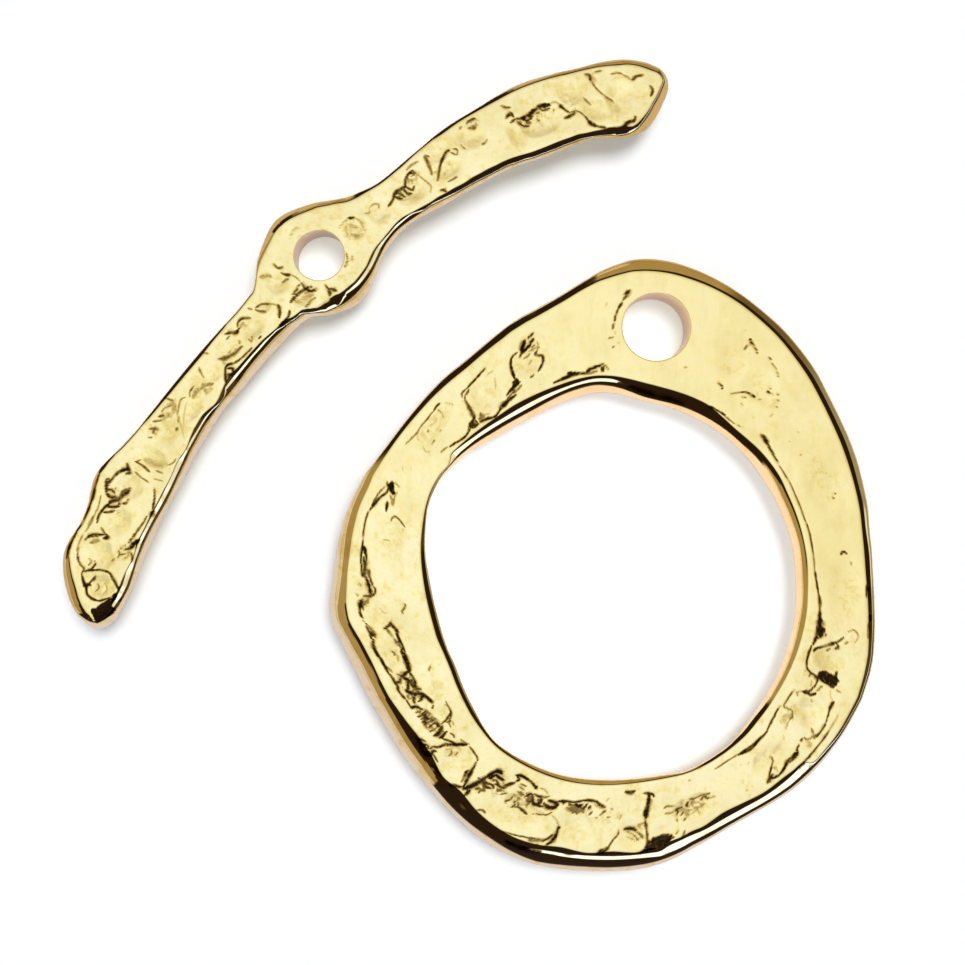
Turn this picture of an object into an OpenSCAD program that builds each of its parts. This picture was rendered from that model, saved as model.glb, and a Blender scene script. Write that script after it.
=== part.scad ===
// Toggle clasp: a cast, hammered ring and the cast bar that is passed through it,
// two loose pieces lying side by side. Each has one hole for a jump ring.
// Millimetres, +Z up, z = 0 is the surface they lie on. The origin is on that
// surface, under the middle of the box round both pieces.

/* [Castings] */
// Thickness of both pieces, underside to flat top
thickness = 2.5; // [2.2:0.1:3]
// How far the sides draw in from their widest line down to the underside
under_draw = 0.6; // [0.3:0.05:0.7]
// Greatest height that a rounded top edge takes up
edge_drop = 1.5; // [1:0.1:1.7]
// Scale of the hammer dents' depth
dent_scale = 1; // [0:0.1:1.5]

/* [Ring] */
// Point that the ring's radii are measured from, X
ring_x = 6.45; // [6:0.05:7]
// Point that the ring's radii are measured from, Y
ring_y = -4.8; // [-5.2:0.05:-4.4]
// Radius of the jump-ring hole in the ring
ring_hole_r = 1.53; // [1.2:0.01:1.7]
// Jump-ring hole in the ring, X
ring_hole_x = 8.32; // [8:0.01:8.6]
// Jump-ring hole in the ring, Y
ring_hole_y = 6.32; // [6.1:0.01:6.5]

/* [Bar] */
// Radius of the jump-ring hole in the bar's eye
bar_hole_r = 1.15; // [0.9:0.01:1.3]
// Jump-ring hole in the bar, X
bar_hole_x = -6.69; // [-6.8:0.01:-6.5]
// Jump-ring hole in the bar, Y
bar_hole_y = 9.5; // [9.3:0.01:9.7]

/* [Hidden] */

// Degrees between two sections of the ring
ring_step = 3;
// Sections of the bar for each row of its table
bar_parts = 2;
// Rows of points across the flat top
ring_cols = 6;
bar_cols = 4;

// Sections of the ring, going round from +X to +Y:
// angle, outer radius, outer edge rounding, inner radius, inner edge rounding
ring_rows = [
  [  0, 11.75, 0.90, 8.30, 0.40],
  [ 10, 11.80, 0.90, 8.25, 0.50],
  [ 20, 12.05, 0.95, 8.15, 0.65],
  [ 30, 12.40, 1.00, 8.10, 0.70],
  [ 40, 12.80, 1.00, 8.05, 0.80],
  [ 50, 13.25, 0.95, 8.00, 0.75],
  [ 60, 13.70, 0.85, 8.05, 0.90],
  [ 70, 14.10, 0.85, 8.05, 0.95],
  [ 75, 14.35, 1.00, 8.00, 1.00],
  [ 80, 14.45, 1.05, 8.05, 1.05],
  [ 85, 14.30, 1.00, 8.15, 1.00],
  [ 90, 13.90, 0.85, 8.30, 0.85],
  [ 95, 13.40, 0.65, 8.45, 0.70],
  [100, 12.90, 0.60, 8.45, 0.70],
  [105, 12.55, 0.60, 8.35, 0.75],
  [110, 12.30, 0.50, 8.30, 0.80],
  [120, 11.90, 0.60, 8.20, 0.90],
  [130, 11.75, 0.65, 8.30, 0.85],
  [140, 11.70, 0.55, 8.55, 0.60],
  [150, 11.80, 0.55, 8.85, 0.20],
  [160, 12.10, 0.65, 8.85, 0.15],
  [170, 12.40, 1.00, 8.55, 0.30],
  [180, 12.60, 1.10, 8.20, 0.50],
  [190, 12.90, 1.45, 8.10, 0.40],
  [200, 12.50, 1.60, 8.05, 0.40],
  [210, 12.30, 1.45, 8.15, 0.30],
  [220, 12.45, 1.80, 8.50, 0.25],
  [230, 12.75, 1.65, 8.90, 0.20],
  [240, 13.30, 1.80, 9.25, 0.15],
  [250, 13.55, 1.70, 9.30, 0.15],
  [260, 13.55, 1.80, 9.30, 0.15],
  [270, 13.45, 1.80, 9.25, 0.15],
  [280, 13.30, 1.80, 9.25, 0.15],
  [290, 12.85, 1.60, 9.45, 0.15],
  [300, 12.65, 1.55, 9.35, 0.15],
  [310, 12.75, 1.55, 9.10, 0.15],
  [320, 12.70, 1.30, 8.90, 0.15],
  [330, 12.45, 0.75, 8.70, 0.20],
  [335, 12.30, 0.40, 8.65, 0.25],
  [340, 12.20, 0.35, 8.55, 0.30],
  [350, 11.90, 0.60, 8.45, 0.40]];

// Sections of the bar from its lower end to its upper end, on the widest line of its sides:
// left X, left Y, left edge rounding, right X, right Y, right edge rounding
bar_rows = [
  [-17.30, -6.85, 0.90, -16.00, -6.85, 0.50],
  [-17.70, -6.30, 1.00, -15.65, -6.35, 0.50],
  [-17.95, -5.75, 1.00, -15.40, -5.85, 0.55],
  [-18.15, -5.10, 0.95, -15.15, -5.40, 0.65],
  [-18.20, -4.50, 0.80, -15.00, -5.00, 0.70],
  [-18.15, -3.85, 0.50, -14.85, -4.60, 0.60],
  [-17.90, -3.30, 0.40, -14.70, -4.20, 0.55],
  [-17.35, -2.45, 0.35, -14.45, -3.60, 0.55],
  [-17.00, -1.55, 0.30, -14.10, -2.85, 0.60],
  [-16.80, -0.60, 0.35, -13.75, -2.10, 0.60],
  [-16.60, -0.15, 0.35, -13.55, -1.75, 0.60],
  [-16.30,  0.20, 0.30, -13.35, -1.35, 0.55],
  [-15.60,  0.90, 0.20, -12.95, -0.60, 0.60],
  [-14.95,  1.60, 0.20, -12.55,  0.20, 0.60],
  [-14.35,  2.30, 0.20, -12.15,  0.95, 0.60],
  [-13.20,  3.75, 0.20, -11.20,  2.45, 0.60],
  [-12.00,  5.20, 0.25, -10.15,  3.75, 0.75],
  [-10.75,  6.60, 0.15,  -9.10,  5.00, 0.80],
  [ -9.85,  7.65, 0.15,  -8.25,  5.90, 0.70],
  [ -9.60,  8.05, 0.15,  -7.95,  6.20, 0.60],
  [ -9.45,  9.20, 0.35,  -7.20,  6.75, 0.50],
  [ -9.20, 10.25, 0.70,  -6.10,  6.95, 0.85],
  [ -8.80, 11.10, 0.75,  -5.20,  7.35, 1.00],
  [ -8.40, 11.40, 0.75,  -4.90,  7.60, 1.00],
  [ -7.95, 11.60, 0.60,  -4.60,  7.95, 1.00],
  [ -6.90, 11.90, 0.55,  -4.20,  8.70, 0.75],
  [ -5.80, 12.05, 0.30,  -3.85,  9.60, 0.65],
  [ -4.85, 12.35, 0.20,  -3.35, 10.30, 0.55],
  [ -4.05, 12.75, 0.15,  -2.70, 10.95, 0.55],
  [ -2.65, 13.90, 0.15,  -1.10, 11.85, 0.55],
  [ -1.20, 15.10, 0.25,   0.40, 12.70, 0.50],
  [  0.40, 16.10, 0.15,   1.85, 13.45, 0.55],
  [  2.05, 17.10, 0.35,   3.35, 13.95, 0.45],
  [  3.90, 17.65, 0.25,   4.75, 14.50, 0.50],
  [  4.85, 17.85, 0.25,   5.50, 14.75, 0.45],
  [  5.80, 18.15, 0.40,   6.25, 14.80, 0.60],
  [  6.70, 18.30, 0.45,   7.10, 14.85, 0.65],
  [  7.75, 18.20, 0.50,   7.85, 15.20, 0.50],
  [  8.30, 18.00, 0.55,   8.30, 15.70, 0.45],
  [  8.75, 17.65, 0.50,   8.75, 16.55, 0.45]];
// The two ends of the bar: X, Y, edge rounding
bar_tail = [-16.65, -7.20, 0.70];
bar_head = [8.92, 17.10, 0.45];

// Main hammer dents in the tops: X, Y, radius, depth
ring_dents = [
  [ -1.60,  3.80, 1.3, 0.18],
  [ -3.40,  1.40, 1.2, 0.16],
  [ -4.30, -3.20, 1.3, 0.18],
  [ -3.90, -8.60, 1.4, 0.20],
  [ -0.60,-13.40, 1.3, 0.16],
  [  4.60,-15.60, 1.4, 0.18],
  [ 10.30,-15.20, 1.3, 0.18],
  [ 15.20,-11.20, 1.3, 0.20]];
bar_dents = [
  [-16.60, -4.40, 1.0, 0.18],
  [-15.40, -1.80, 1.2, 0.18],
  [-11.90,  3.60, 1.0, 0.14],
  [ -9.70,  6.20, 0.9, 0.14],
  [ -2.40, 12.30, 1.0, 0.16],
  [  1.60, 15.00, 1.2, 0.18],
  [  6.60, 16.60, 1.2, 0.16]];

// Angles of the points on a rounded top edge (90 is the widest line, 0 the flat top)
// and on the draw below it (90 is the underside)
edge_angles = [90, 64, 40, 20, 0];
draw_angles = [90, 60, 30];
levels = len(edge_angles) + len(draw_angles);

// Smooth value between rows p1 and p2, with the rows' distances a, b and c
function between(p0, p1, p2, p3, a, b, c, t) =
  let (m1 = (p2 - p0) / (a + b) * b, m2 = (p3 - p1) / (b + c) * b)
  (2 * t * t * t - 3 * t * t + 1) * p1 + (t * t * t - 2 * t * t + t) * m1
  + (3 * t * t - 2 * t * t * t) * p2 + (t * t * t - t * t) * m2;

// How far a dent table lowers the top at a point
function dent(rows, x, y) = dent_scale * max([for (d = rows)
  let (q = ((x - d[0]) * (x - d[0]) + (y - d[1]) * (y - d[1])) / (d[2] * d[2]))
  q < 1 ? d[3] * (1 - q) * (1 - q) : 0]);

// The side of a piece from underside to top, as [inset, height], for a rounding
function drop(round) = min(round, edge_drop);
function side(round) = concat(
  [for (p = draw_angles) [under_draw * (1 - cos(p)), (thickness - drop(round)) * (1 - sin(p))]],
  [for (n = edge_angles) [round * (1 - sin(n)), thickness - drop(round) * (1 - cos(n))]]);

// ---- ring ----
ring_n = 360 / ring_step;
ring_count = len(ring_rows);
function ring_row(i) = ring_rows[(i + ring_count) % ring_count];
function ring_span(i) = (ring_row(i + 1)[0] - ring_row(i)[0] + 360) % 360;
function tail4(v) = [v[1], v[2], v[3], v[4]];
function ring_at(a) =
  let (i = max([for (k = [0 : ring_count - 1]) if (ring_rows[k][0] <= a) k]))
  between(tail4(ring_row(i - 1)), tail4(ring_row(i)), tail4(ring_row(i + 1)), tail4(ring_row(i + 2)),
          ring_span(i - 1), ring_span(i), ring_span(i + 1), (a - ring_row(i)[0]) / ring_span(i));

// One section of the ring as [radius, height], from the outer underside over the top to the inner underside
function ring_section(a) =
  let (v = ring_at(a), out = side(v[1]), inn = side(v[3]), r1 = v[0] - v[1], r2 = v[2] + v[3])
  concat(
    [for (s = out) [v[0] - s[0], s[1]]],
    [for (c = [1 : ring_cols - 1])
      let (r = r1 + (r2 - r1) * c / ring_cols)
      [r, thickness - dent(ring_dents, ring_x + r * cos(a), ring_y + r * sin(a))]],
    [for (k = [levels - 1 : -1 : 0]) [v[2] + inn[k][0], inn[k][1]]]);
ring_m = 2 * levels + ring_cols - 1;

module ring_casting() {
  pts = [for (i = [0 : ring_n - 1]) let (a = i * ring_step) for (s = ring_section(a))
    [ring_x + s[0] * cos(a), ring_y + s[0] * sin(a), s[1]]];
  faces = [for (i = [0 : ring_n - 1]) for (j = [0 : ring_m - 1])
    let (i2 = (i + 1) % ring_n, j2 = (j + 1) % ring_m)
    [i * ring_m + j, i * ring_m + j2, i2 * ring_m + j2, i2 * ring_m + j]];
  polyhedron(pts, faces);
}

// ---- bar ----
bar_count = len(bar_rows);
// The bar's outline as one closed loop: lower end, left side, upper end, right side back
bar_loop = concat([bar_tail], [for (r = bar_rows) [r[0], r[1], r[2]]], [bar_head],
  [for (k = [bar_count - 1 : -1 : 0]) [bar_rows[k][3], bar_rows[k][4], bar_rows[k][5]]]);
loop_count = len(bar_loop);
function loop_at(i) = bar_loop[(i + loop_count) % loop_count];
function loop_gap(i) = norm([loop_at(i + 1)[0] - loop_at(i)[0], loop_at(i + 1)[1] - loop_at(i)[1]]);
bar_line = [for (i = [0 : loop_count - 1]) for (k = [0 : bar_parts - 1])
  between(loop_at(i - 1), loop_at(i), loop_at(i + 1), loop_at(i + 2),
          loop_gap(i - 1), loop_gap(i), loop_gap(i + 1), k / bar_parts)];
bar_n = len(bar_line);
bar_half = bar_n / 2;

module bar_casting() {
  // Outward direction at each point of the outline, which runs clockwise
  out = [for (i = [0 : bar_n - 1])
    let (a = bar_line[(i + bar_n - 1) % bar_n], b = bar_line[(i + 1) % bar_n], d = norm([b[0] - a[0], b[1] - a[1]]))
    [(a[1] - b[1]) / d, (b[0] - a[0]) / d]];
  rim = [for (i = [0 : bar_n - 1]) for (s = side(bar_line[i][2]))
    [bar_line[i][0] - out[i][0] * s[0], bar_line[i][1] - out[i][1] * s[0], s[1]]];
  function rim_id(i, k) = ((i + bar_n) % bar_n) * levels + k;
  inner = [for (i = [1 : bar_half - 1]) for (c = [1 : bar_cols - 1])
    let (p = rim[rim_id(i, levels - 1)], q = rim[rim_id(-i, levels - 1)], m = p + (q - p) * c / bar_cols)
    [m[0], m[1], thickness - dent(bar_dents, m[0], m[1])]];
  function top_id(i, c) = i == 0 || i == bar_half || c == 0 ? rim_id(i, levels - 1)
    : c == bar_cols ? rim_id(-i, levels - 1)
    : len(rim) + (i - 1) * (bar_cols - 1) + c - 1;
  function tidy(f) = [for (k = [0 : len(f) - 1]) if (f[k] != f[(k + 1) % len(f)]) f[k]];
  sides = [for (i = [0 : bar_n - 1]) for (k = [0 : levels - 2])
    [rim_id(i, k), rim_id(i + 1, k), rim_id(i + 1, k + 1), rim_id(i, k + 1)]];
  tops = [for (i = [0 : bar_half - 1]) for (c = [0 : bar_cols - 1])
    tidy([top_id(i, c), top_id(i + 1, c), top_id(i + 1, c + 1), top_id(i, c + 1)])];
  unders = [for (i = [0 : bar_half - 1])
    tidy([rim_id(i, 0), rim_id(-i, 0), rim_id(-i - 1, 0), rim_id(i + 1, 0)])];
  polyhedron(concat(rim, inner), [for (f = concat(sides, tops, unders)) if (len(f) > 2) f]);
}

// A round hole right through at a point
module drill(x, y, r) {
  translate([x, y, -1]) cylinder(r = r, h = thickness + 2, $fn = 64);
}

module toggle_ring() {
  color([0.93, 0.80, 0.48]) difference() {
    ring_casting();
    drill(ring_hole_x, ring_hole_y, ring_hole_r);
  }
}

module toggle_bar() {
  color([0.90, 0.77, 0.44]) difference() {
    bar_casting();
    drill(bar_hole_x, bar_hole_y, bar_hole_r);
  }
}

toggle_ring();
toggle_bar();
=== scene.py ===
import math

import bpy
import mathutils
import numpy as np
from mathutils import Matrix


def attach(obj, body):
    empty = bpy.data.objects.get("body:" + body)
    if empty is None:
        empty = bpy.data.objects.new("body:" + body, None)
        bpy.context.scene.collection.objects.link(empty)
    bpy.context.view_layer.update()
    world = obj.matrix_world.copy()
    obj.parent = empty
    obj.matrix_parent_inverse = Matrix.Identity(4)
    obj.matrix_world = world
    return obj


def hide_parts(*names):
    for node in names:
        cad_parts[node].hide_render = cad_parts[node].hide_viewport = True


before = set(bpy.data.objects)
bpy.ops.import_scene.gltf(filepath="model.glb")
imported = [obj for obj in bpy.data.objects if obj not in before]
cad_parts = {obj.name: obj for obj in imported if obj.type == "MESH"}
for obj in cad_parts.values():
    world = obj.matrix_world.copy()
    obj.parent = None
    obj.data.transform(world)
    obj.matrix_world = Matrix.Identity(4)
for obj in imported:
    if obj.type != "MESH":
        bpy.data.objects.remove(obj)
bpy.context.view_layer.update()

# Toggle clasp: a cast, hammered ring and the cast bar that is passed through it.
# Lengths are millimetres until a mesh is made, where they become metres.
MM = 0.001
THICK = 2.5          # underside to flat top
UNDER = 0.6          # draw of the sides below their widest line
EDGE_DROP = 1.5      # most height that a rounded top edge takes up
RING_X, RING_Y = 6.45, -4.8
RING_HOLE = (8.32, 6.32, 1.53)
BAR_HOLE = (-6.69, 9.5, 1.15)
UNIT = 1 / 22.5      # one chart unit, in millimetres

# angle, outer radius, outer edge rounding, inner radius, inner edge rounding
RING_ROWS = [
    (0, 11.75, 0.90, 8.30, 0.40),
    (10, 11.80, 0.90, 8.25, 0.50),
    (20, 12.05, 0.95, 8.15, 0.65),
    (30, 12.40, 1.00, 8.10, 0.70),
    (40, 12.80, 1.00, 8.05, 0.80),
    (50, 13.25, 0.95, 8.00, 0.75),
    (60, 13.70, 0.85, 8.05, 0.90),
    (70, 14.10, 0.85, 8.05, 0.95),
    (75, 14.35, 1.00, 8.00, 1.00),
    (80, 14.45, 1.05, 8.05, 1.05),
    (85, 14.30, 1.00, 8.15, 1.00),
    (90, 13.90, 0.85, 8.30, 0.85),
    (95, 13.40, 0.65, 8.45, 0.70),
    (100, 12.90, 0.60, 8.45, 0.70),
    (105, 12.55, 0.60, 8.35, 0.75),
    (110, 12.30, 0.50, 8.30, 0.80),
    (120, 11.90, 0.60, 8.20, 0.90),
    (130, 11.75, 0.65, 8.30, 0.85),
    (140, 11.70, 0.55, 8.55, 0.60),
    (150, 11.80, 0.55, 8.85, 0.20),
    (160, 12.10, 0.65, 8.85, 0.15),
    (170, 12.40, 1.00, 8.55, 0.30),
    (180, 12.60, 1.10, 8.20, 0.50),
    (190, 12.90, 1.45, 8.10, 0.40),
    (200, 12.50, 1.60, 8.05, 0.40),
    (210, 12.30, 1.45, 8.15, 0.30),
    (220, 12.45, 1.80, 8.50, 0.25),
    (230, 12.75, 1.65, 8.90, 0.20),
    (240, 13.30, 1.80, 9.25, 0.15),
    (250, 13.55, 1.70, 9.30, 0.15),
    (260, 13.55, 1.80, 9.30, 0.15),
    (270, 13.45, 1.80, 9.25, 0.15),
    (280, 13.30, 1.80, 9.25, 0.15),
    (290, 12.85, 1.60, 9.45, 0.15),
    (300, 12.65, 1.55, 9.35, 0.15),
    (310, 12.75, 1.55, 9.10, 0.15),
    (320, 12.70, 1.30, 8.90, 0.15),
    (330, 12.45, 0.75, 8.70, 0.20),
    (335, 12.30, 0.40, 8.65, 0.25),
    (340, 12.20, 0.35, 8.55, 0.30),
    (350, 11.90, 0.60, 8.45, 0.40),
]

# left X, left Y, left edge rounding, right X, right Y, right edge rounding
BAR_ROWS = [
    (-17.30, -6.85, 0.90, -16.00, -6.85, 0.50),
    (-17.70, -6.30, 1.00, -15.65, -6.35, 0.50),
    (-17.95, -5.75, 1.00, -15.40, -5.85, 0.55),
    (-18.15, -5.10, 0.95, -15.15, -5.40, 0.65),
    (-18.20, -4.50, 0.80, -15.00, -5.00, 0.70),
    (-18.15, -3.85, 0.50, -14.85, -4.60, 0.60),
    (-17.90, -3.30, 0.40, -14.70, -4.20, 0.55),
    (-17.35, -2.45, 0.35, -14.45, -3.60, 0.55),
    (-17.00, -1.55, 0.30, -14.10, -2.85, 0.60),
    (-16.80, -0.60, 0.35, -13.75, -2.10, 0.60),
    (-16.60, -0.15, 0.35, -13.55, -1.75, 0.60),
    (-16.30, 0.20, 0.30, -13.35, -1.35, 0.55),
    (-15.60, 0.90, 0.20, -12.95, -0.60, 0.60),
    (-14.95, 1.60, 0.20, -12.55, 0.20, 0.60),
    (-14.35, 2.30, 0.20, -12.15, 0.95, 0.60),
    (-13.20, 3.75, 0.20, -11.20, 2.45, 0.60),
    (-12.00, 5.20, 0.25, -10.15, 3.75, 0.75),
    (-10.75, 6.60, 0.15, -9.10, 5.00, 0.80),
    (-9.85, 7.65, 0.15, -8.25, 5.90, 0.70),
    (-9.60, 8.05, 0.15, -7.95, 6.20, 0.60),
    (-9.45, 9.20, 0.35, -7.20, 6.75, 0.50),
    (-9.20, 10.25, 0.70, -6.10, 6.95, 0.85),
    (-8.80, 11.10, 0.75, -5.20, 7.35, 1.00),
    (-8.40, 11.40, 0.75, -4.90, 7.60, 1.00),
    (-7.95, 11.60, 0.60, -4.60, 7.95, 1.00),
    (-6.90, 11.90, 0.55, -4.20, 8.70, 0.75),
    (-5.80, 12.05, 0.30, -3.85, 9.60, 0.65),
    (-4.85, 12.35, 0.20, -3.35, 10.30, 0.55),
    (-4.05, 12.75, 0.15, -2.70, 10.95, 0.55),
    (-2.65, 13.90, 0.15, -1.10, 11.85, 0.55),
    (-1.20, 15.10, 0.25, 0.40, 12.70, 0.50),
    (0.40, 16.10, 0.15, 1.85, 13.45, 0.55),
    (2.05, 17.10, 0.35, 3.35, 13.95, 0.45),
    (3.90, 17.65, 0.25, 4.75, 14.50, 0.50),
    (4.85, 17.85, 0.25, 5.50, 14.75, 0.45),
    (5.80, 18.15, 0.40, 6.25, 14.80, 0.60),
    (6.70, 18.30, 0.45, 7.10, 14.85, 0.65),
    (7.75, 18.20, 0.50, 7.85, 15.20, 0.50),
    (8.30, 18.00, 0.55, 8.30, 15.70, 0.45),
    (8.75, 17.65, 0.50, 8.75, 16.55, 0.45),
]
BAR_TAIL = (-16.65, -7.20, 0.70)
BAR_HEAD = (8.92, 17.10, 0.45)

# The line along the middle of the bar that its marks are charted from, in chart units
BAR_LINE = [(97, 632), (98, 600), (105, 560), (124, 510), (150, 460), (180, 410), (213, 362),
            (250, 320), (286, 287), (320, 255), (353, 226), (388, 200), (428, 170), (470, 141),
            (515, 117), (560, 101), (605, 92), (640, 88), (668, 82)]

# Where the rounded edges of the ring turn down. Each row is a direction from the chart's
# centre, then the radii where the slope first sends a level glance 40, 52, 76 and 90 degrees
# from straight up, and the outermost radius seen from above.
RING_OUTER = [
    (0, 254, 258.6, 259.6, 260.4, 261.2), (5, 253.4, 258.2, 259.2, 260.2, 261), (10, 254.2, 258, 259.6, 260.8, 261.7),
    (15, 256.5, 260.4, 262.4, 263.8, 264.8), (20, 258.6, 262, 264.6, 266.2, 267.4), (25, 261.2, 265, 267.8, 269.4, 270.6),
    (30, 264.4, 268.6, 271, 272.6, 273.8), (35, 268, 272, 274.4, 276, 277.2), (40, 272.8, 276.8, 279.2, 280.8, 282),
    (45, 278.8, 282.4, 285.6, 287.4, 288.6), (50, 284.4, 287.4, 290.6, 292.8, 294), (55, 290.4, 292.8, 296, 298.2, 299.6),
    (60, 295.4, 297.8, 300.8, 302.8, 304), (65, 300.4, 302.4, 305.8, 307.8, 309), (70, 304, 305.8, 309.8, 312, 313.4),
    (75, 306.2, 308, 312.6, 315.4, 317), (80, 307.2, 308.8, 313.8, 317, 319), (85, 305.2, 306.6, 312, 315, 317),
    (90, 299.2, 300.8, 304.8, 307.4, 309.4), (95, 288.8, 290.6, 293, 294.8, 296.4), (100, 278.2, 280.2, 282.2, 283.6, 285.2),
    (105, 270.8, 272.8, 274.6, 276, 277.6), (110, 266, 268.4, 270.2, 271.6, 273.2), (113, 263, 266, 267.6, 268.8, 270),
    (115, 260.5, 263.6, 265.3, 266.4, 267.6), (120, 256.4, 258.6, 260.3, 261.4, 262.6), (125, 253.2, 255.5, 257.3, 258.4, 259.6),
    (130, 252.6, 255, 257, 258, 259.2), (135, 252.6, 254.5, 256, 257, 258.1), (140, 252.6, 254, 255.6, 256.5, 257.5),
    (145, 253.6, 255, 256.2, 257, 258), (150, 255.2, 256.6, 257.8, 258.7, 259.8), (155, 257.6, 259.4, 261.4, 262.4, 263.6),
    (160, 260.5, 262.5, 265.5, 267.5, 269.6), (165, 262.4, 264.4, 267.5, 269.5, 272.2), (170, 263.2, 265.2, 268.8, 270.8, 275),
    (175, 264.2, 266, 269.3, 271.3, 277.4), (180, 266, 267.8, 270.8, 273, 279.6), (185, 267.4, 269.6, 274.2, 277, 283),
    (188, 267.4, 270, 275.2, 278, 284), (190, 266.6, 269, 274.4, 277.4, 283.4), (195, 259.5, 262.2, 268.4, 271.5, 278.2),
    (200, 255.5, 258.5, 263.6, 266.5, 274.2), (205, 254.4, 257.2, 262, 265, 272.4), (210, 254, 257.2, 262.4, 265.4, 272.4),
    (215, 253, 258, 263.8, 266.8, 273.4), (220, 252.5, 260, 266, 269, 275.4), (225, 255, 262.5, 268, 271.5, 277.6),
    (230, 263, 268, 273, 275.6, 280.6), (235, 264, 270, 277, 280.6, 285.4), (240, 271.5, 276.5, 282, 285.2, 290.4),
    (245, 277, 281.5, 286, 288.7, 295), (250, 280, 287.6, 288.2, 293, 298.2), (255, 279.5, 284.2, 286.8, 295.5, 299.4),
    (258, 277.5, 282.8, 286, 294.6, 299), (260, 277, 282.6, 286, 293.6, 298.6), (265, 279, 281.6, 285.5, 292, 297.4),
    (270, 276.5, 281, 285, 291.5, 296.6), (275, 278.5, 280.8, 284.8, 290.5, 295.6), (278, 276, 280.5, 285.2, 289.6, 294.2),
    (280, 277, 280.2, 285.6, 288.4, 292.8), (282, 273, 276.4, 284, 286.8, 291), (285, 271, 273.4, 281, 283.7, 287.4),
    (287, 268.6, 272, 278.6, 281.2, 285), (290, 267.5, 271, 276.2, 279.2, 282), (295, 262.5, 268, 273.6, 275.9, 278.4),
    (300, 263, 267.5, 273, 274.9, 277.4), (305, 265.3, 268.8, 274.2, 276.2, 278.6), (310, 265.4, 269.2, 276, 277.9, 280.4),
    (313, 266.6, 269, 276.3, 278.3, 281), (315.5, 268, 268.7, 276.6, 278.6, 281.2), (317, 275, 275.5, 276.9, 278.8, 281.2),
    (320, 275.6, 276.4, 277.2, 279, 281), (325, 275.8, 277.6, 278, 279.2, 280.6),
    (330, 274.8, 277, 277.4, 278.5, 279.6), (335, 274, 276.6, 277, 278, 279),
    (340, 270.8, 274, 274.4, 275.5, 276.6), (345, 265.8, 269, 269.4, 270.5, 271.6), (350, 260.6, 264.4, 264.8, 266, 267.2),
    (355, 256.8, 260.8, 261.2, 262.4, 263.5),
]

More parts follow.
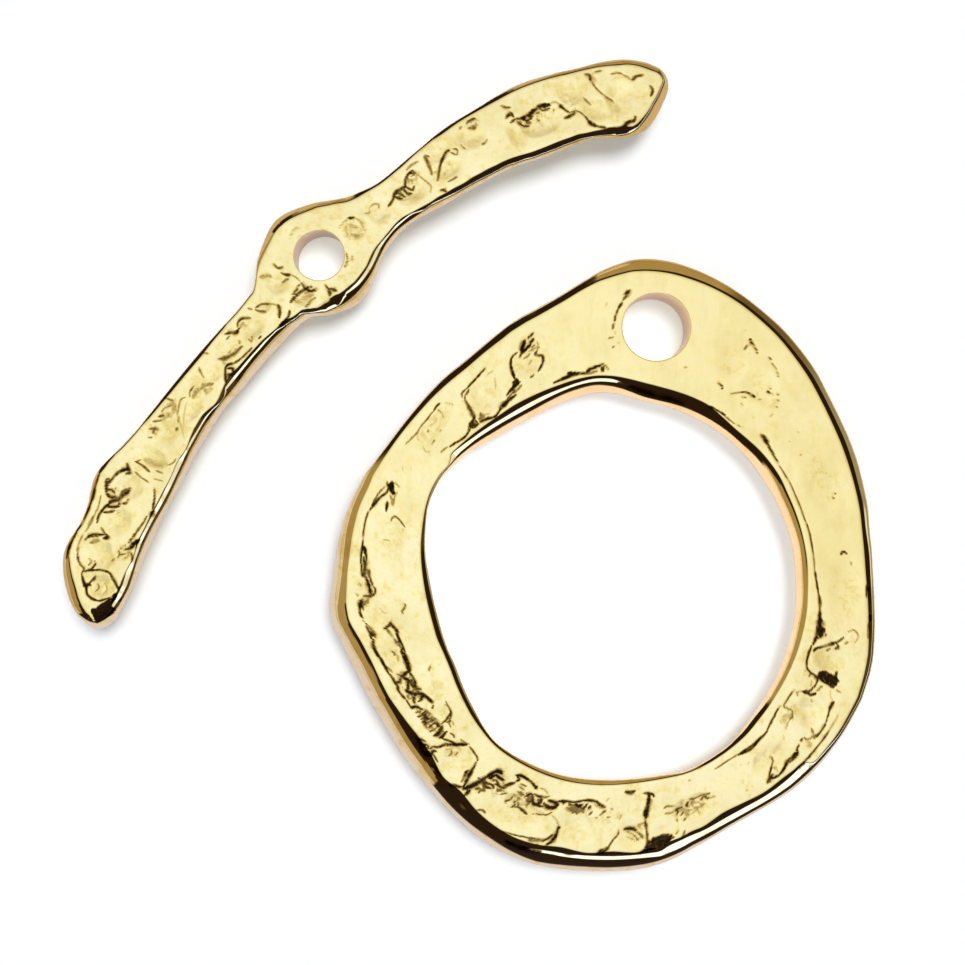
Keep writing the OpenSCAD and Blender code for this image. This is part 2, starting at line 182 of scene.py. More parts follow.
# The same for the ring's inner edge, and last the innermost radius seen from above
RING_INNER = [
    (0, 196, 194.3, 191.5, 190, 183.5), (5, 195.6, 193.9, 191.3, 190, 183), (10, 195, 193.3, 190.8, 189.5, 182.3),
    (15, 194.5, 192.4, 189.8, 188.2, 181.3), (20, 194, 191.6, 189, 187.3, 180.4), (25, 193.8, 191, 188.4, 186.8, 179.4),
    (30, 194.6, 191, 188.8, 187.4, 178.6), (35, 194.2, 190.2, 189, 187.8, 178.6), (40, 193.4, 189.2, 188.4, 187.2, 178.6),
    (45, 192, 187.5, 187, 185.6, 178.5), (50, 191.4, 187.4, 187, 185.4, 178.4), (55, 193, 187.4, 187, 185, 178),
    (60, 195.4, 187.9, 187.5, 184.4, 177.5), (65, 195.4, 187.4, 187, 183.6, 177.2), (70, 194.8, 186.4, 186, 182.4, 177),
    (75, 194.4, 185.4, 185, 181.2, 177), (80, 195, 186.4, 186, 182, 177), (85, 197, 190.4, 190, 186, 179.5),
    (87, 198, 193, 191.4, 187.8, 180.6), (90, 199.2, 196.2, 192.8, 190, 182), (95, 200, 197.2, 193.9, 192, 182.5),
    (100, 199, 195.4, 192.8, 190.4, 181), (105, 197.4, 193.4, 190.4, 188.3, 179.5), (110, 196.5, 192.2, 188.2, 185.8, 178),
    (115, 196, 191.2, 186.6, 184, 177), (120, 196, 190.8, 186.4, 183.8, 177), (125, 195.6, 191.2, 187.4, 184.8, 178),
    (130, 196.4, 193, 189.2, 186.6, 180), (135, 198, 195.4, 191.8, 189.6, 184), (138, 199.2, 197.4, 193.2, 191.4, 187.4),
    (141, 200.6, 199.6, 194.8, 193.2, 190), (143, 201.2, 200.8, 195.4, 194.4, 191), (144.5, 198.6, 198.3, 195.8, 195, 191.8),
    (146, 197.2, 196.8, 196.3, 195.6, 192.8), (150, 199.2, 198.5, 198.1, 197.4, 196), (155, 199.8, 198.7, 198.3, 197.4, 196.8),
    (160, 198.4, 196.9, 196.6, 195.9, 195.7), (165, 196, 193.6, 193.3, 192.7, 192.5), (170, 194, 190.7, 190.4, 189.8, 189.5),
    (175, 191.7, 187.9, 187.6, 186.8, 186.5), (180, 189.4, 185, 184.6, 183.4, 183), (185, 187.6, 183, 182.4, 181.2, 180.8),
    (190, 186.3, 181.6, 180.8, 179.7, 179.4), (195, 185.7, 181.2, 180.2, 179.1, 178.8), (200, 186, 181.4, 180.6, 179.5, 179.2),
    (205, 185.6, 182, 181.2, 180.3, 180), (210, 187, 183.2, 182, 180.9, 180.6), (215, 190.3, 186.8, 185.4, 184.2, 184),
    (220, 194.2, 190.9, 189.5, 188.4, 188.2), (225, 198.6, 195.4, 194.1, 193, 192.8), (230, 202.6, 200.2, 199.5, 198.8, 198.6),
    (235, 206.5, 204.8, 204, 203.4, 203.2), (240, 208.4, 207, 205.8, 205, 204.8), (245, 209.4, 208, 206.4, 205.4, 205.2),
    (250, 210.4, 209.2, 207.2, 206, 205.8), (255, 211, 209.9, 207.6, 206.4, 206.2), (260, 211, 210.2, 207.4, 206, 205.8),
    (265, 210.6, 210, 207, 205.5, 205.2), (270, 210, 209.4, 206.4, 205, 204.8), (275, 209.4, 208.6, 206.2, 205, 204.8),
    (280, 209.4, 208.4, 206.6, 205.5, 205.2), (285, 210.2, 209.2, 207.6, 206.8, 206.6), (290, 211.8, 210.8, 210, 209.3, 209.1),
    (295, 212, 211, 209.8, 209, 208.8), (300, 211.2, 210.2, 208.7, 207.8, 207.5), (305, 210.2, 208.8, 207.6, 206.6, 206.1),
    (310, 208.8, 207.4, 206, 204.9, 202.5), (315, 206.4, 204.9, 203.2, 202, 199), (320, 204.6, 203.2, 202, 201, 196.5),
    (325, 203, 201.6, 200, 199, 194.5), (330, 202, 200.6, 198.8, 197.6, 193), (335, 201, 199.4, 197.4, 196, 190.5),
    (340, 200, 198.2, 196, 194.4, 189), (345, 199, 197.2, 194.8, 193, 188), (350, 198, 196.2, 193.9, 192.4, 186.5),
    (355, 196.6, 195, 192.7, 191.3, 184.8),
]

# The same slopes along the bar's left side: distance along, then the 40 and 90 degree
# distances to the left of the middle line
BAR_LEFT = [
    (12, 4, 9), (15, 6, 14), (20, 12, 20.5), (30, 18.5, 26.5), (40, 23, 30.5), (50, 28, 34.5), (60, 32.5, 38),
    (68, 35.5, 39.8), (72, 36.7, 40.3), (78, 37, 40), (85, 36.3, 39.4), (90, 35, 38), (95, 33.2, 36.2),
    (100, 32, 34.8), (105, 31.6, 34), (112, 31.6, 33.8), (120, 33, 35.2), (126, 34.4, 36.8), (133, 36.3, 38.4),
    (140, 37.4, 39.4), (147, 37.6, 39.8), (155, 36, 39.4), (162, 35, 38.4), (170, 33.2, 36.4), (180, 31.2, 34.2),
    (190, 28.7, 31.8), (200, 26.2, 29.5), (210, 23.8, 27.2), (220, 21.7, 24.9), (230, 20.2, 23), (240, 18.8, 21.6),
    (250, 17.3, 20.3), (260, 16.2, 19.4), (270, 15.2, 18.5), (280, 14.2, 17.8), (290, 13.4, 17), (300, 12.9, 16.4),
    (310, 13.1, 16.4), (320, 13.2, 16.2), (330, 13.3, 16.4), (340, 14.2, 17.4), (350, 15.1, 18.1), (360, 15.8, 18.7),
    (370, 16.7, 19.7), (377, 18, 21), (381, 20.8, 23), (385, 24, 26.3), (390, 28.4, 31), (395, 32, 34.8),
    (400, 35.3, 38), (405, 37.3, 40.2), (410, 39.2, 42), (415, 41, 43.8), (420, 42.7, 45), (425, 44.5, 46.7),
    (430, 46.4, 48.4), (435, 47.5, 49.3), (440, 48, 49.8), (445, 47.9, 49.7), (450, 47.5, 49.9), (455, 46.4, 49),
    (460, 44.8, 47.6), (465, 43, 46.2), (470, 40.9, 44.4), (475, 39, 42.2), (480, 37, 40.2), (485, 34, 37.2),
    (490, 31, 34), (495, 28.5, 31.5), (500, 25.2, 29), (505, 22.7, 26), (510, 21.2, 24.5), (515, 20.2, 23.5),
    (520, 19.7, 23), (530, 18.7, 21.5), (540, 17.7, 20), (550, 17.7, 20), (560, 18.2, 20.8), (570, 18.7, 21.5),
    (580, 19.7, 22.5), (590, 20.7, 23.5), (600, 21.2, 24.5), (610, 21.7, 25), (620, 21.2, 25), (640, 22.2, 25),
    (660, 22.2, 25), (680, 22.7, 26), (700, 24.2, 27), (720, 24.7, 27.5), (740, 24.7, 27.5), (750, 24.2, 27.5),
    (760, 24.7, 27.5), (770, 25.2, 28), (780, 25.7, 28.5), (790, 25.7, 28.5), (800, 25.2, 28.5), (810, 25, 28),
    (820, 22.5, 25.5), (830, 18, 22), (835, 15, 19), (840, 12, 16), (843, 8, 13),
]

# Along its right side: the 40, 52, 76 and 90 degree distances, to the right
BAR_RIGHT = [
    (12, 1, 1.5, 3, 4.5), (15, 3.5, 4.2, 7.5, 9.5), (20, 9, 10, 12, 14.5), (25, 12.5, 13, 15.5, 18.8),
    (30, 8, 15, 18.5, 21.4), (35, 13, 17.5, 21.5, 23.8), (40, 16.5, 19, 23.5, 25.5), (45, 17.5, 20.5, 25, 27),
    (50, 19.5, 22, 26.5, 28.3), (55, 20.5, 22.5, 27.3, 29), (60, 21.5, 23, 28, 29.5), (65, 22.7, 23.3, 28.5, 29.8),
    (70, 23.9, 24.05, 29, 30), (80, 25.8, 26.1, 29, 30), (90, 25.8, 26.2, 29.3, 30.3), (95, 24.6, 26.1, 29.2, 30.4),
    (100, 22.6, 26, 29, 30.5), (105, 24.6, 26.2, 29.2, 30.8), (110, 25.5, 26.5, 29.5, 31), (120, 26, 27, 30, 31.5),
    (130, 26, 27.3, 30.5, 32.3), (140, 26, 27.3, 31, 33), (150, 26.5, 27.5, 31.5, 33.5), (160, 26.3, 27.3, 31.5, 33.5),
    (170, 26.5, 27, 31.2, 32.8), (180, 26.1, 26.4, 30.5, 32), (190, 25, 25.15, 29.8, 31.2), (200, 24.5, 24.65, 29, 30.5),
    (210, 25.5, 25.9, 28, 29.3), (220, 23.5, 25, 27.5, 29), (230, 22, 25, 27, 28.3), (240, 21.5, 25, 26.5, 28),
    (250, 21.5, 25, 26.5, 28.5), (260, 24, 27, 27.5, 29), (267, 26, 29, 29.2, 29.5), (275, 24.5, 29.5, 29.7, 30),
    (280, 23.5, 25.5, 27, 30.5), (290, 21.5, 25, 27.5, 31), (300, 20, 25, 28, 31), (310, 22.5, 25.5, 28, 30.5),
    (320, 23, 25.5, 28, 30), (330, 23, 25.5, 27.5, 29.7), (340, 23, 25.5, 27.5, 29.3), (350, 23, 25, 27, 29),
    (360, 23.5, 25.5, 26.5, 28.5), (370, 24, 25.5, 26.5, 28.5), (380, 23, 28, 28.2, 28.5), (385, 22.5, 28.4, 28.7, 29),
    (390, 26.4, 29.4, 29.7, 30), (395, 27, 29.4, 29.7, 30), (400, 27, 30.9, 31.2, 31.5), (405, 30, 35.4, 35.7, 36),
    (410, 34, 39.4, 39.7, 40), (415, 34.5, 43.2, 43.6, 44), (420, 36, 45.2, 45.6, 46), (425, 37, 47.2, 47.6, 48),
    (430, 38, 48.6, 49, 49.5), (435, 39.5, 46, 46.6, 50.5), (440, 41.5, 44.5, 46, 51), (450, 42.5, 45, 47.5, 51.5),
    (460, 42.5, 44.8, 48, 50.5), (470, 41, 43, 46.8, 48.8), (480, 38.5, 40.5, 44.2, 46.5), (490, 34, 36.5, 40.5, 42.5),
    (500, 30.5, 32, 36, 38.5), (510, 28.5, 29.5, 32, 34), (520, 26, 27.5, 29, 31), (530, 23.5, 25, 27, 29),
    (540, 22.5, 24.5, 26, 28.8), (550, 24, 25, 26, 29), (560, 25.5, 28.9, 29.2, 29.5), (570, 27, 29.4, 29.7, 30),
    (580, 27.5, 31.4, 31.7, 32), (590, 29, 33.3, 33.6, 34), (600, 30, 34.8, 35.1, 35.5), (610, 31.5, 35.8, 36.1, 36.5),
    (620, 31.5, 36.7, 37, 37.5), (630, 32.5, 37.7, 38, 38.5), (640, 33, 38.7, 39, 39.5), (650, 34, 39.2, 39.5, 40),
    (660, 34.5, 39.6, 40, 40.5), (670, 35.5, 41.1, 41.5, 42), (680, 37, 42.1, 42.5, 43), (690, 38.5, 43.6, 44, 44.5),
    (700, 39, 44.1, 44.5, 45), (710, 39, 44.1, 44.5, 45), (720, 38.5, 44.1, 44.5, 45), (730, 38, 43.1, 43.5, 44),
    (740, 37.5, 42.6, 43, 43.5), (750, 36.5, 41.6, 42, 42.5), (760, 37, 41.7, 42.1, 42.5), (770, 36.5, 42.1, 42.5, 43),
    (780, 35.5, 43.6, 44, 44.5), (790, 35.5, 44, 44.5, 45), (800, 34.5, 43.6, 44, 44.5), (805, 34.5, 42.6, 43, 43.5),
    (810, 36, 40.2, 40.6, 41), (815, 32.5, 36.3, 36.6, 37), (820, 28, 30.4, 30.7, 31), (825, 22.5, 24.5, 24.7, 25),
    (830, 15.5, 17, 17.2, 17.5), (835, 9.5, 11, 11.2, 11.5), (840, 2.5, 4, 4.2, 4.5),
]
BAR_TIPS = [[(13, 1.2), (12, 1.2), (11, 1.1), (10, 1)], [(843.4, 3.2), (843.9, 3.4), (844.5, 3.6), (845, 3.8)]]

# Marks cut into the ring's top. Each is: half width, darkness of its painted shade, points as (angle, radius).
# Half widths and radii are in chart units from the chart's own centre.
RING_MARKS = [
    # inner edge, above and left of the jump-ring hole
    (1.0, 0.55, [(90.9, 204.9), (91.5, 208.4), (92.3, 210.9), (93.3, 210.6)]),
    (1.5, 0.95, [(92.6, 210.8), (94.7, 208.6), (96.4, 206.2), (97.1, 204.4)]),
    (1.3, 0.80, [(92.5, 209), (92.6, 206.5), (92.5, 204)]),
    (1.6, 0.45, [(94, 205.2), (95.5, 203.6), (97.5, 203.0), (99.5, 203.6)]),
    (1.5, 0.95, [(97.6, 203.6), (99.6, 204.6), (101.2, 205.6), (102.2, 206.4)]),
    (1.6, 1.00, [(99.2, 204.2), (101.2, 204.2), (103.7, 202.6), (106.9, 200.9)]),
    # the dent near 112 degrees
    (1.0, 0.70, [(107.9, 254.8), (108.9, 252.6), (109.7, 251.0)]),
    (1.3, 0.75, [(108.3, 248.6), (109.0, 247.3), (109.6, 245.9)]),
    (1.9, 0.95, [(110.3, 250.2), (111.0, 247.0), (111.6, 243.5), (111.9, 240.8)]),
    (1.6, 0.90, [(109.4, 244.6), (110.6, 242.2), (111.9, 240.2)]),
    (0.9, 0.60, [(108.4, 243.2), (109.6, 240.8)]),
    (0.8, 0.55, [(107.6, 239.2), (108.6, 237.6)]),
    (1.2, 0.85, [(108.0, 231.0), (109.2, 233.4), (108.5, 236.4)]),
    (0.9, 0.65, [(112.0, 240.2), (113.0, 236.4)]),
    (1.0, 0.50, [(110.2, 236.2), (111.2, 234.6), (112.2, 233.6)]),
    (0.8, 0.40, [(110.4, 230.2), (111.6, 226.2)]),
    (1.0, 0.40, [(107.9, 246.0), (107.7, 242.0), (108.6, 239.6), (110.4, 238.2)]),
    (1.2, 0.95, [(108.6, 232.2), (107.7, 230.2), (107.6, 227.0), (108.1, 222.9)]),
    (1.1, 0.90, [(108.1, 222.9), (109.0, 219.6), (109.9, 216.9)]),
    (0.9, 0.85, [(111.2, 215.1), (112.4, 213.8)]),
    (0.9, 0.75, [(113.1, 242.0), (114.1, 240.8), (115.1, 238.4)]),
    (1.2, 0.95, [(115.0, 238.6), (115.7, 233.4), (116.1, 227.0), (116.3, 219.6)]),
    (1.0, 0.50, [(115.4, 210.4), (117.0, 208.0), (118.4, 206.6)]),
    (1.7, 0.80, [(117.6, 209.0), (119.2, 206.8), (120.6, 205.2)]),
    (1.9, 1.00, [(118.2, 204.0), (120.0, 203.4), (122.0, 202.2), (123.6, 200.6), (124.6, 199.4)]),
    (1.1, 1.00, [(123.6, 200.2), (125.2, 198.0), (126.3, 197.0), (127.6, 198.2), (129.0, 200.2)]),
    # the oval dent near 126 degrees
    (0.8, 0.80, [(121.5, 242.5), (122.9, 241.0), (124.9, 238.8), (126.9, 237.2), (128.4, 236.2)]),
    (1.2, 0.75, [(127.6, 234.6), (128.4, 232.8), (129.2, 232.4)]),
    (1.1, 0.80, [(128.2, 236.4), (129.5, 235.8), (130.1, 232.4)]),
    (1.8, 0.95, [(129.5, 231.6), (130.1, 227.0), (130.4, 221.0), (130.7, 215.0), (131.2, 209.0)]),
    (2.0, 0.45, [(129.0, 208.5), (129.6, 204.6), (130.4, 202.4)]),
    (1.2, 0.70, [(127.6, 199.6), (129.4, 201.0), (130.8, 202.2)]),
    (0.7, 0.30, [(120.2, 236.3), (121.2, 236.4), (122.0, 235.6)]),
    (0.7, 0.30, [(120.8, 229.0), (121.3, 224.0), (122.0, 220.0)]),
    (1.0, 0.25, [(127.0, 202.0), (128.2, 204.4), (129.2, 206.6)]),
    (1.0, 0.95, [(134.5, 202.9), (136.6, 202.0), (138.7, 203.3), (140.0, 205.1), (141.7, 207.0)]),
    (0.9, 0.60, [(142.2, 208.7), (143.2, 209.8), (144.5, 210.7)]),
    # faint crumples near 140 degrees
    (0.9, 0.85, [(135.0, 243.4), (136.3, 243.3), (137.2, 242.6)]),
    (0.7, 0.65, [(137.2, 242.6), (138.4, 242.3), (140.0, 241.7), (142.0, 242.2), (144.0, 241.4), (145.6, 242.6), (147.7, 244.6)]),
    (1.0, 0.30, [(133.0, 232.6), (133.6, 237.4), (134.3, 240.4)]),
    (1.0, 0.28, [(130.2, 227.6), (130.9, 230.6)]),
    (0.9, 0.35, [(136.5, 240.0), (136.4, 235.6), (136.9, 231.0)]),
    (1.0, 0.50, [(141.6, 233.8), (142.2, 233.2)]),
    (0.8, 0.40, [(142.6, 222.8), (144.1, 223.0)]),
    (1.0, 0.45, [(139.6, 224.4), (140.2, 224.0)]),
    (0.8, 0.25, [(145.8, 229.0), (146.4, 224.0), (145.9, 219.0)]),
    (0.8, 0.22, [(138.0, 235.0), (139.4, 234.0), (141.0, 235.6)]),
    (0.9, 0.25, [(143.4, 241.0), (144.6, 238.6), (145.2, 236.0)]),
    (0.9, 0.28, [(152.6, 235.6), (153.2, 234.6)]),
    (0.8, 0.22, [(151.6, 228.6), (152.4, 226.4)]),
    # the notch near 158 degrees and the long crease that runs from it
    (1.2, 1.00, [(157.6, 243.6), (158.2, 241.8), (158.4, 240.0), (159.8, 240.0), (161.6, 244.8), (163.5, 248.4), (165.0, 250.6)]),
    (0.7, 0.75, [(158.6, 243.4), (160.5, 247.0), (162.4, 249.0), (164.0, 250.2)]),
    (0.8, 0.90, [(164.4, 250.6), (165.6, 251.6), (167.5, 252.6), (169.6, 252.3), (172.0, 251.7)]),
    (1.0, 0.95, [(162.0, 236.4), (163.0, 235.4), (164.2, 235.1)]),
    (1.4, 0.35, [(160.0, 236.4), (161.2, 232.2), (162.4, 230.4)]),
    (0.8, 0.35, [(156.9, 236.0), (157.6, 229.6)]),
    (1.0, 0.40, [(158.8, 230.2), (160.4, 231.0), (162.6, 229.4)]),
    (0.8, 0.70, [(166.2, 227.8), (165.1, 226.2), (165.1, 222.0), (166.0, 217.0), (166.9, 213.0)]),
    (0.9, 0.35, [(171.3, 231.0), (171.2, 228.0), (171.4, 225.0)]),
    (0.9, 0.25, [(167.4, 214.6), (168.4, 213.6)]),
    # the ragged crease from 173 to 190 degrees
    (0.9, 0.95, [(172.0, 251.7), (174.0, 251.3), (176.0, 251.9), (178.0, 250.9), (180.4, 249.7)]),
    (1.5, 0.90, [(173.4, 249.8), (174.8, 247.6), (176.6, 246.0)]),
    (2.3, 0.95, [(176.0, 249.0), (177.6, 247.4), (179.2, 247.6)]),
    (2.3, 0.80, [(178.6, 245.6), (179.6, 247.8), (180.2, 248.6)]),
    (1.2, 0.75, [(178.2, 243.2), (180.0, 243.0), (181.2, 241.4), (182.6, 239.6)]),
    (2.1, 1.00, [(180.4, 247.2), (181.4, 244.6), (183.0, 242.8), (184.9, 241.6)]),
    (1.0, 0.80, [(182.9, 238.4), (183.8, 237.0), (184.8, 239.4), (185.0, 241.6)]),
    (1.2, 0.85, [(184.9, 249.4), (185.0, 245.0), (185.1, 241.4)]),
    (1.4, 0.60, [(185.2, 243.0), (186.0, 247.0), (186.8, 250.4), (188.2, 251.6)]),
    (1.9, 0.95, [(185.6, 250.8), (186.4, 252.8), (187.6, 253.6)]),
    (1.0, 0.95, [(186.4, 254.2), (188.2, 254.9), (189.2, 254.3), (189.9, 252.6)]),
    (0.8, 0.35, [(181.6, 253.4), (182.4, 251.6), (182.2, 255.0)]),
    (0.8, 0.50, [(184.2, 256.2), (184.9, 254.4)]),
    (0.7, 0.30, [(188.2, 234.6), (189.4, 231.6), (189.8, 227.0)]),
    (0.9, 0.55, [(188.0, 208.8), (189.0, 210.2), (189.9, 213.2), (190.6, 212.2)]),
    (0.9, 0.60, [(190.2, 253.8), (190.8, 251.8)]),
    # the second crease and the pocket under it, 191 to 205 degrees
    (1.1, 0.90, [(191.2, 250.8), (192.4, 250.6), (193.8, 249.2), (195.0, 248.6)]),
    (1.7, 0.60, [(191.8, 249.4), (193.0, 246.6), (194.0, 244.6), (195.2, 245.2)]),
    (1.9, 0.95, [(193.2, 248.0), (194.6, 247.0)]),
    (1.6, 1.00, [(195.2, 247.2), (196.4, 248.4), (197.4, 249.0)]),
    (1.2, 0.95, [(197.0, 249.1), (198.7, 248.0), (200.0, 246.0), (202.1, 245.0), (203.8, 244.2)]),
    (1.0, 0.50, [(201.6, 245.2), (202.8, 242.2), (203.8, 240.6)]),
    (1.2, 0.85, [(191.6, 225.0), (192.6, 227.8), (193.0, 231.2), (193.4, 234.8)]),
    (2.0, 1.00, [(192.2, 227.2), (193.4, 224.6), (195.0, 222.2)]),
    (1.8, 0.50, [(193.6, 231.4), (195.2, 229.0), (197.0, 226.0), (199.0, 223.4)]),
    (1.2, 0.95, [(194.4, 223.4), (196.2, 222.8), (198.2, 221.6), (200.4, 220.6)]),
    (1.7, 0.95, [(199.2, 222.4), (200.2, 223.6), (201.0, 222.0)]),
    (1.8, 1.00, [(200.6, 222.8), (202.2, 223.0), (204.0, 223.4), (205.4, 224.0)]),
    (0.8, 0.60, [(199.0, 233.6), (199.9, 231.4), (200.4, 232.8)]),
    (0.7, 0.40, [(200.6, 229.4), (202.0, 230.8)]),
    # the tangle of strokes from 205 to 216 degrees
    (1.1, 0.85, [(203.8, 244.0), (205.2, 242.6), (206.6, 242.4), (207.6, 241.0)]),
    (1.4, 1.00, [(206.4, 242.4), (206.6, 238.0), (205.8, 233.4), (205.4, 226.0)]),
    (1.0, 0.90, [(204.7, 236.6), (205.9, 233.4), (207.2, 229.6), (207.7, 228.0)]),
    (1.4, 0.95, [(207.2, 241.2), (208.4, 242.8), (210.0, 242.2), (211.0, 241.0)]),
    (0.9, 0.80, [(211.2, 240.6), (212.6, 240.6), (213.9, 240.8)]),
    (1.2, 0.95, [(206.0, 233.6), (206.8, 231.0), (207.6, 229.4), (208.2, 231.6), (209.2, 232.8)]),
    (1.5, 1.00, [(209.2, 236.4), (210.2, 234.0), (211.4, 230.6), (211.3, 226.4)]),
    (1.1, 0.80, [(208.8, 232.0), (209.2, 235.0), (209.9, 236.4)]),
    (1.2, 0.90, [(211.6, 231.0), (212.0, 234.2), (213.2, 235.6)]),
    (1.5, 0.95, [(213.4, 241.0), (213.8, 237.0), (214.6, 234.2), (215.4, 233.0)]),
    (1.3, 0.90, [(213.2, 231.4), (213.0, 227.0), (212.0, 224.8), (213.6, 222.4)]),
    (1.2, 0.90, [(205.2, 225.0), (206.6, 224.4), (208.2, 223.8), (209.4, 226.2), (210.3, 226.2), (210.8, 222.8)]),
    (1.1, 0.80, [(207.4, 226.0), (208.6, 228.4), (210.4, 227.4)]),
    (1.4, 0.95, [(211.4, 228.0), (212.2, 224.4), (213.8, 221.6), (215.4, 221.0)]),
    (1.2, 0.45, [(214.8, 221.6), (215.2, 219.4), (215.8, 221.2)]),
    (1.0, 0.90, [(216.2, 221.2), (216.6, 224.4)]),
    (0.9, 0.45, [(206.4, 202.8), (207.0, 204.6), (207.7, 207.2)]),
    # the comb of short cuts from 215 to 225 degrees
    (1.2, 0.70, [(215.0, 240.0), (215.4, 236.0), (215.0, 233.4)]),
    (1.2, 0.75, [(216.2, 241.0), (216.4, 237.0), (216.2, 233.0), (216.4, 229.0)]),
    (1.0, 0.65, [(217.2, 239.4), (217.2, 235.0), (217.6, 230.0)]),
    (1.0, 0.75, [(217.9, 241.0), (218.0, 236.0), (218.4, 231.0)]),
    (1.1, 0.60, [(219.0, 240.0), (218.9, 235.0), (219.3, 229.0)]),
    (1.2, 0.65, [(220.0, 239.6), (219.8, 234.0), (220.2, 228.4)]),
    (1.0, 0.70, [(220.8, 240.6), (221.0, 235.0), (220.9, 227.4)]),
    (1.9, 1.00, [(222.2, 240.4), (222.3, 236.0), (222.0, 230.0), (221.7, 226.6)]),
    (1.4, 0.90, [(223.4, 237.0), (223.6, 233.0), (223.4, 227.6)]),
    (1.4, 0.35, [(214.4, 237.6), (217.0, 235.6), (220.0, 236.6), (223.0, 234.8)]),
    (1.4, 0.40, [(215.0, 231.4), (218.0, 230.2), (221.0, 229.8), (224.0, 231.0)]),
    (0.9, 0.85, [(221.1, 226.4), (221.1, 221.0), (220.9, 216.0), (220.5, 211.8)]),
    (0.8, 0.70, [(217.2, 208.6), (218.6, 210.0), (220.4, 211.4), (221.3, 214.4), (222.2, 219.8), (223.6, 222.2)]),
    (1.0, 0.40, [(217.8, 211.6), (218.8, 209.8)]),
    (1.0, 0.60, [(221.6, 222.0), (222.2, 217.6)]),
    (0.8, 0.40, [(222.4, 216.4), (223.6, 218.6)]),
    (1.0, 0.70, [(220.2, 253.0), (221.2, 251.4), (221.8, 249.8)]),
    (0.9, 0.60, [(221.8, 253.4), (222.8, 251.2), (223.4, 252.6)]),
    (1.8, 0.65, [(223.7, 250.8), (224.0, 247.6), (224.8, 244.6), (225.0, 241.4)]),
    (1.5, 0.90, [(225.0, 255.2), (224.6, 251.0), (225.2, 249.0)]),
    (1.7, 0.85, [(218.6, 253), (220.6, 255.2), (222.6, 258), (224.4, 260)]),
    (1.3, 0.75, [(221.4, 257.5), (222, 254.8), (222.4, 252.4)]),
    (1.5, 0.70, [(223.4, 258.6), (224.2, 255.6), (225.4, 257.6)]),
    (1.6, 0.80, [(226.4, 262.6), (228, 262.4), (229.6, 264.2)]),
    (1.8, 0.90, [(232.4, 265.6), (233.6, 262.4), (234.6, 260)]),
    (1.6, 0.85, [(236.2, 266), (236.4, 262), (236.6, 258)]),
    # the dent from 225 to 234 degrees
    (1.9, 1.00, [(225.0, 244.0), (225.4, 238.8), (226.6, 233.6), (228.2, 227.6), (229.4, 224.0)]),
    (1.5, 0.75, [(224.2, 235.4), (225.4, 232.8), (227.0, 230.4)]),
    (0.9, 0.70, [(224.4, 226.2), (225.4, 225.6), (226.0, 227.2)]),
    (0.8, 0.55, [(227.4, 223.6), (229.0, 223.0), (229.8, 221.8)]),
    (0.9, 0.90, [(225.2, 253.2), (226.0, 254.4), (227.0, 255.8)]),
    (0.9, 0.55, [(227.8, 244.8), (228.2, 240.4), (227.6, 238.0)]),
    (0.8, 0.50, [(229.0, 238.4), (229.2, 234.6)]),
    (0.9, 0.35, [(226.4, 241.6), (226.9, 238.6)]),
    (0.9, 0.90, [(230.4, 223.4), (232.0, 224.8), (233.6, 227.0), (234.1, 230.0)]),
    (1.5, 0.95, [(234.9, 259.2), (234.9, 254.0), (234.6, 247.0), (234.4, 240.0), (234.1, 232.0)]),
    (1.2, 0.50, [(234.1, 257.0), (233.8, 250.0), (233.7, 243.0)]),
    (1.0, 0.85, [(233.8, 250.0), (233.5, 246.0), (233.7, 242.6)]),
    # the long pocket from 236 to 258 degrees
    (2.1, 1.00, [(235.2, 261.0), (235.8, 257.0), (236.8, 250.6), (237.8, 242.0), (238.8, 233.0), (239.3, 228.8)]),
    (1.9, 1.00, [(239.2, 229.0), (240.2, 226.6), (241.0, 227.4)]),
    (1.1, 0.70, [(237.6, 254.4), (238.0, 251.4)]),
    (0.9, 0.70, [(238.4, 256.4), (238.8, 251.4)]),
    (1.1, 0.85, [(236.6, 243.4), (237.8, 243.0), (239.2, 246.8), (240.4, 245.4)]),
    (1.2, 0.80, [(238.6, 243.6), (240.4, 241.8), (241.0, 244.0)]),
    (1.9, 1.00, [(239.0, 237.8), (239.5, 234.6), (239.6, 232.4)]),
    (1.3, 0.95, [(239.8, 231.4), (241.2, 232.4), (242.4, 232.0)]),
    (1.1, 0.85, [(240.6, 236.0), (241.4, 238.4), (240.6, 240.0)]),
    (1.2, 0.80, [(241.2, 240.0), (242.8, 239.8), (243.6, 238.0)]),
    (1.5, 0.90, [(242.8, 238.4), (243.6, 234.8), (244.4, 231.4), (245.0, 229.6)]),
    (1.0, 0.70, [(243.0, 246.6), (243.9, 243.8), (244.4, 242.6)]),
    (0.9, 0.65, [(245.1, 252.0), (244.8, 250.2), (245.6, 247.6), (246.0, 242.0)]),
    (1.1, 0.80, [(246.6, 253.8), (247.1, 250.6), (246.6, 245.8)]),
    (1.1, 0.75, [(247.4, 252.4), (248.0, 249.2), (247.2, 246.0)]),
    (1.2, 0.85, [(247.8, 250.6), (249.2, 252.2), (250.4, 254.2)]),
    (0.8, 0.70, [(251.8, 251.8), (253.2, 250.4), (254.8, 248.6), (255.8, 245.0)]),
    (1.4, 0.95, [(248.8, 237.6), (249.4, 234.8), (249.8, 233.6)]),
    (1.2, 0.90, [(249.8, 242.0), (250.6, 239.4), (250.2, 234.0)]),
    (1.6, 0.80, [(250.4, 240.6), (251.8, 242.6), (252.6, 236.6), (252.2, 232.8)]),
    (1.0, 0.85, [(250.8, 241.4), (252.6, 242.4), (253.6, 241.2)]),
    (1.8, 1.00, [(253.4, 238.4), (254.8, 241.0), (256.2, 239.4), (256.8, 236.4)]),
    (1.6, 0.95, [(254.2, 234.6), (255.6, 234.8), (256.6, 235.4)]),
